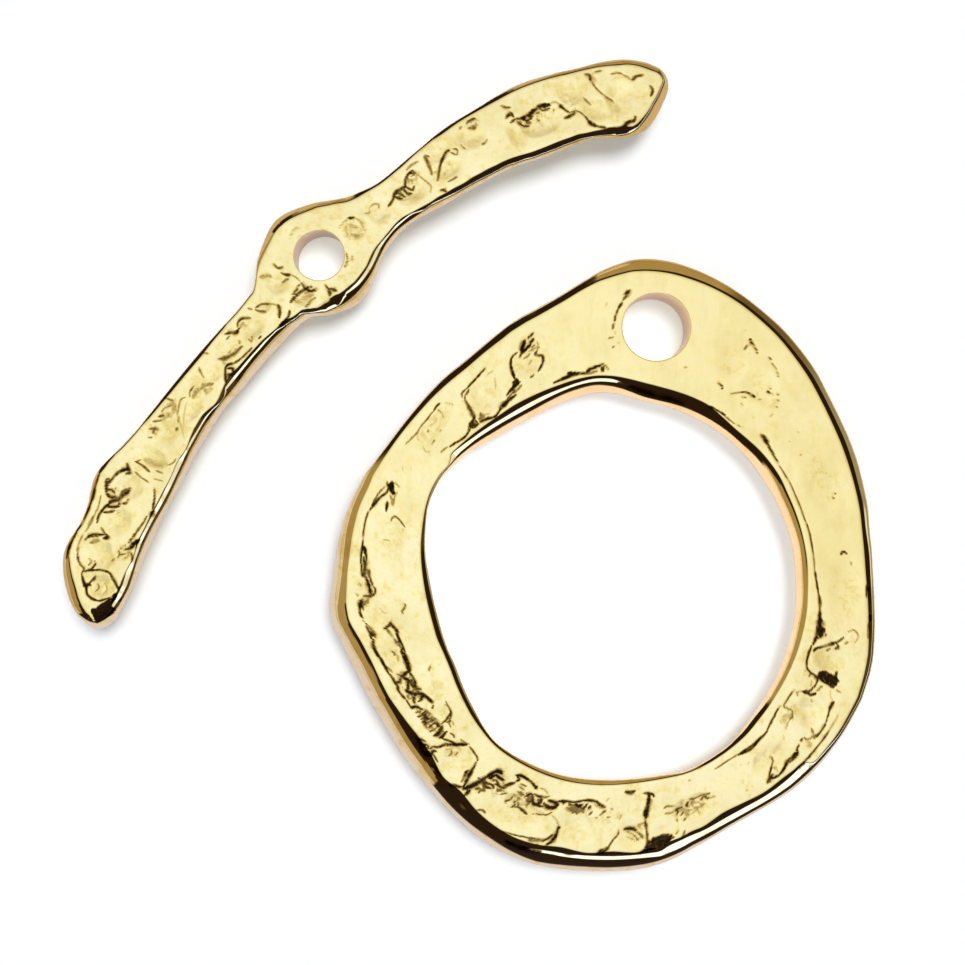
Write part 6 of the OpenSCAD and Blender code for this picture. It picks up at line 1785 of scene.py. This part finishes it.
def by_side(tree, whole, unit, full, pick):
    """A colour by direction: whole is the way round in degrees, unit the angle from straight up as a part of full
    degrees, and pick chooses the light's colours (0) or the painted reflection and shade tints (1)"""
    ramps = []
    for _, a, b, c, end_a, end_b, side in AROUND:
        if pick == 0:
            stops = [(t, tuple(v * (1 + (s - 1) * w) for v, s in zip(c0, side))) for t, c0, w in OVERHEAD]
        else:
            stops = [(0, (1, 1, 1)), (36, (1, 1, 1)), (39, (0.62, 0.56, 0.43))]
        stops += [(40.7, a[pick]), (end_a - 0.6, a[pick]), (end_a + 0.6, b[pick]), (end_b - 0.6, b[pick]),
                  (end_b + 0.6, c[pick])]
        stops += [(90, c[pick])] if pick == 0 else [(92, c[pick]), (95, (1, 1, 1))]
        ramps.append(ramp(tree, unit, [(t / full, v) for t, v in stops]).outputs[0])
    colour = ramps[-1]
    # light from a side comes off edges that face a few degrees round from it
    keys = [r[0] - (pick and float(np.interp(r[0], TURNED_BY[0], TURNED_BY[1]))) for r in AROUND]
    assert keys == sorted(keys)
    spans = [(keys[-1] - 360, keys[0])] + list(zip(keys[:-1], keys[1:])) + [(keys[-1], keys[0] + 360)]
    order = list(range(len(AROUND))) + [0]
    for (lo, hi), k in zip(spans, order):
        step = node(tree, "ShaderNodeMapRange", interpolation_type="SMOOTHSTEP")
        tree.links.new(whole, step.inputs["Value"])
        step.inputs["From Min"].default_value = lo + 0.2 * (hi - lo)
        step.inputs["From Max"].default_value = hi - 0.2 * (hi - lo)
        mix = node(tree, "ShaderNodeMix", data_type="RGBA")
        tree.links.new(step.outputs["Result"], mix.inputs["Factor"])
        tree.links.new(colour, mix.inputs[6])
        tree.links.new(ramps[k], mix.inputs[7])
        colour = mix.outputs[2]
    return colour


def build_world():
    world = bpy.data.worlds.new("studio")
    bpy.context.scene.world = world
    world.use_nodes = True
    tree = world.node_tree
    tree.nodes.clear()
    link = tree.links.new
    out = node(tree, "ShaderNodeOutputWorld")
    coord = node(tree, "ShaderNodeTexCoord")
    split = node(tree, "ShaderNodeSeparateXYZ")
    link(coord.outputs["Generated"], split.inputs[0])
    tilt = node(tree, "ShaderNodeMath", operation="ARCCOSINE")
    link(split.outputs["Z"], tilt.inputs[0])
    unit = maths(tree, "MULTIPLY", tilt.outputs[0], 2 / math.pi)
    turn = maths(tree, "ARCTAN2", split.outputs["Y"], split.outputs["X"])
    whole = maths(tree, "FLOORED_MODULO", maths(tree, "MULTIPLY", turn, 180 / math.pi), 360)
    colour = by_side(tree, whole, unit, 90, 0)
    light = node(tree, "ShaderNodeBackground")
    link(colour, light.inputs["Color"])
    pale = node(tree, "ShaderNodeBackground")
    pale.inputs["Color"].default_value = (0.93, 0.93, 0.94, 1)
    soft = node(tree, "ShaderNodeBackground")
    soft.inputs["Color"].default_value = (0.42, 0.43, 0.45, 1)
    path = node(tree, "ShaderNodeLightPath")
    cast = node(tree, "ShaderNodeMixShader")
    link(path.outputs["Is Diffuse Ray"], cast.inputs[0])
    link(light.outputs[0], cast.inputs[1])
    link(soft.outputs[0], cast.inputs[2])
    both = node(tree, "ShaderNodeMixShader")
    link(path.outputs["Is Camera Ray"], both.inputs[0])
    link(cast.outputs[0], both.inputs[1])
    link(pale.outputs[0], both.inputs[2])
    link(both.outputs[0], out.inputs[0])


def build_lamp():
    data = bpy.data.lights.new("overhead_lamp", "SUN")
    data.energy = 2.2
    data.angle = math.radians(24)
    data.color = (1.0, 0.99, 0.97)
    lamp = bpy.data.objects.new("overhead_lamp", data)
    lamp.rotation_euler = (math.radians(16), 0, math.radians(55 + 90))
    lamp.visible_glossy = False
    bpy.context.scene.collection.objects.link(lamp)


def build_floor():
    n = 96
    rim = [(620 * math.cos(t), 620 * math.sin(t), -0.02) for t in np.arange(n) / n * 2 * math.pi]
    pts = [(0, 0, -0.02)] + rim
    faces = [(0, 1 + s, 1 + (s + 1) % n, -1) for s in range(n)]
    floor = make_mesh("floor", pts, faces)
    floor.data.materials.append(floor_material())


def build_camera():
    data = bpy.data.cameras.new("camera")
    data.sensor_width = 36
    data.lens = 55.567
    data.clip_start = 0.001
    data.clip_end = 20
    cam = bpy.data.objects.new("camera", data)
    cam.location = (0.58 * MM, -0.61 * MM, 68.7 * MM)
    bpy.context.scene.collection.objects.link(cam)
    bpy.context.scene.camera = cam


build_camera()
build_world()
build_lamp()
build_floor()
gold = gold_material()
ring, ring_before = build_ring()
drill(ring, (RING_HOLE[0], RING_HOLE[1], RING_HOLE[2] - 0.02), 1.0)
finish_mesh(ring, ring_relief, ring_before)
bar, bar_before = build_bar()
bar.data.flip_normals()
drill(bar, (BAR_HOLE[0], BAR_HOLE[1], BAR_HOLE[2] - 0.04), 0.9, 0.1)
finish_mesh(bar, bar_relief, bar_before)
for piece, name in ((ring, "toggle_ring"), (bar, "toggle_bar")):
    piece.data.materials.clear()
    piece.data.materials.append(gold)
    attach(piece, "root")
    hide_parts(name)

scene = bpy.context.scene
scene.view_settings.view_transform = "Standard"
scene.view_settings.look = "None"
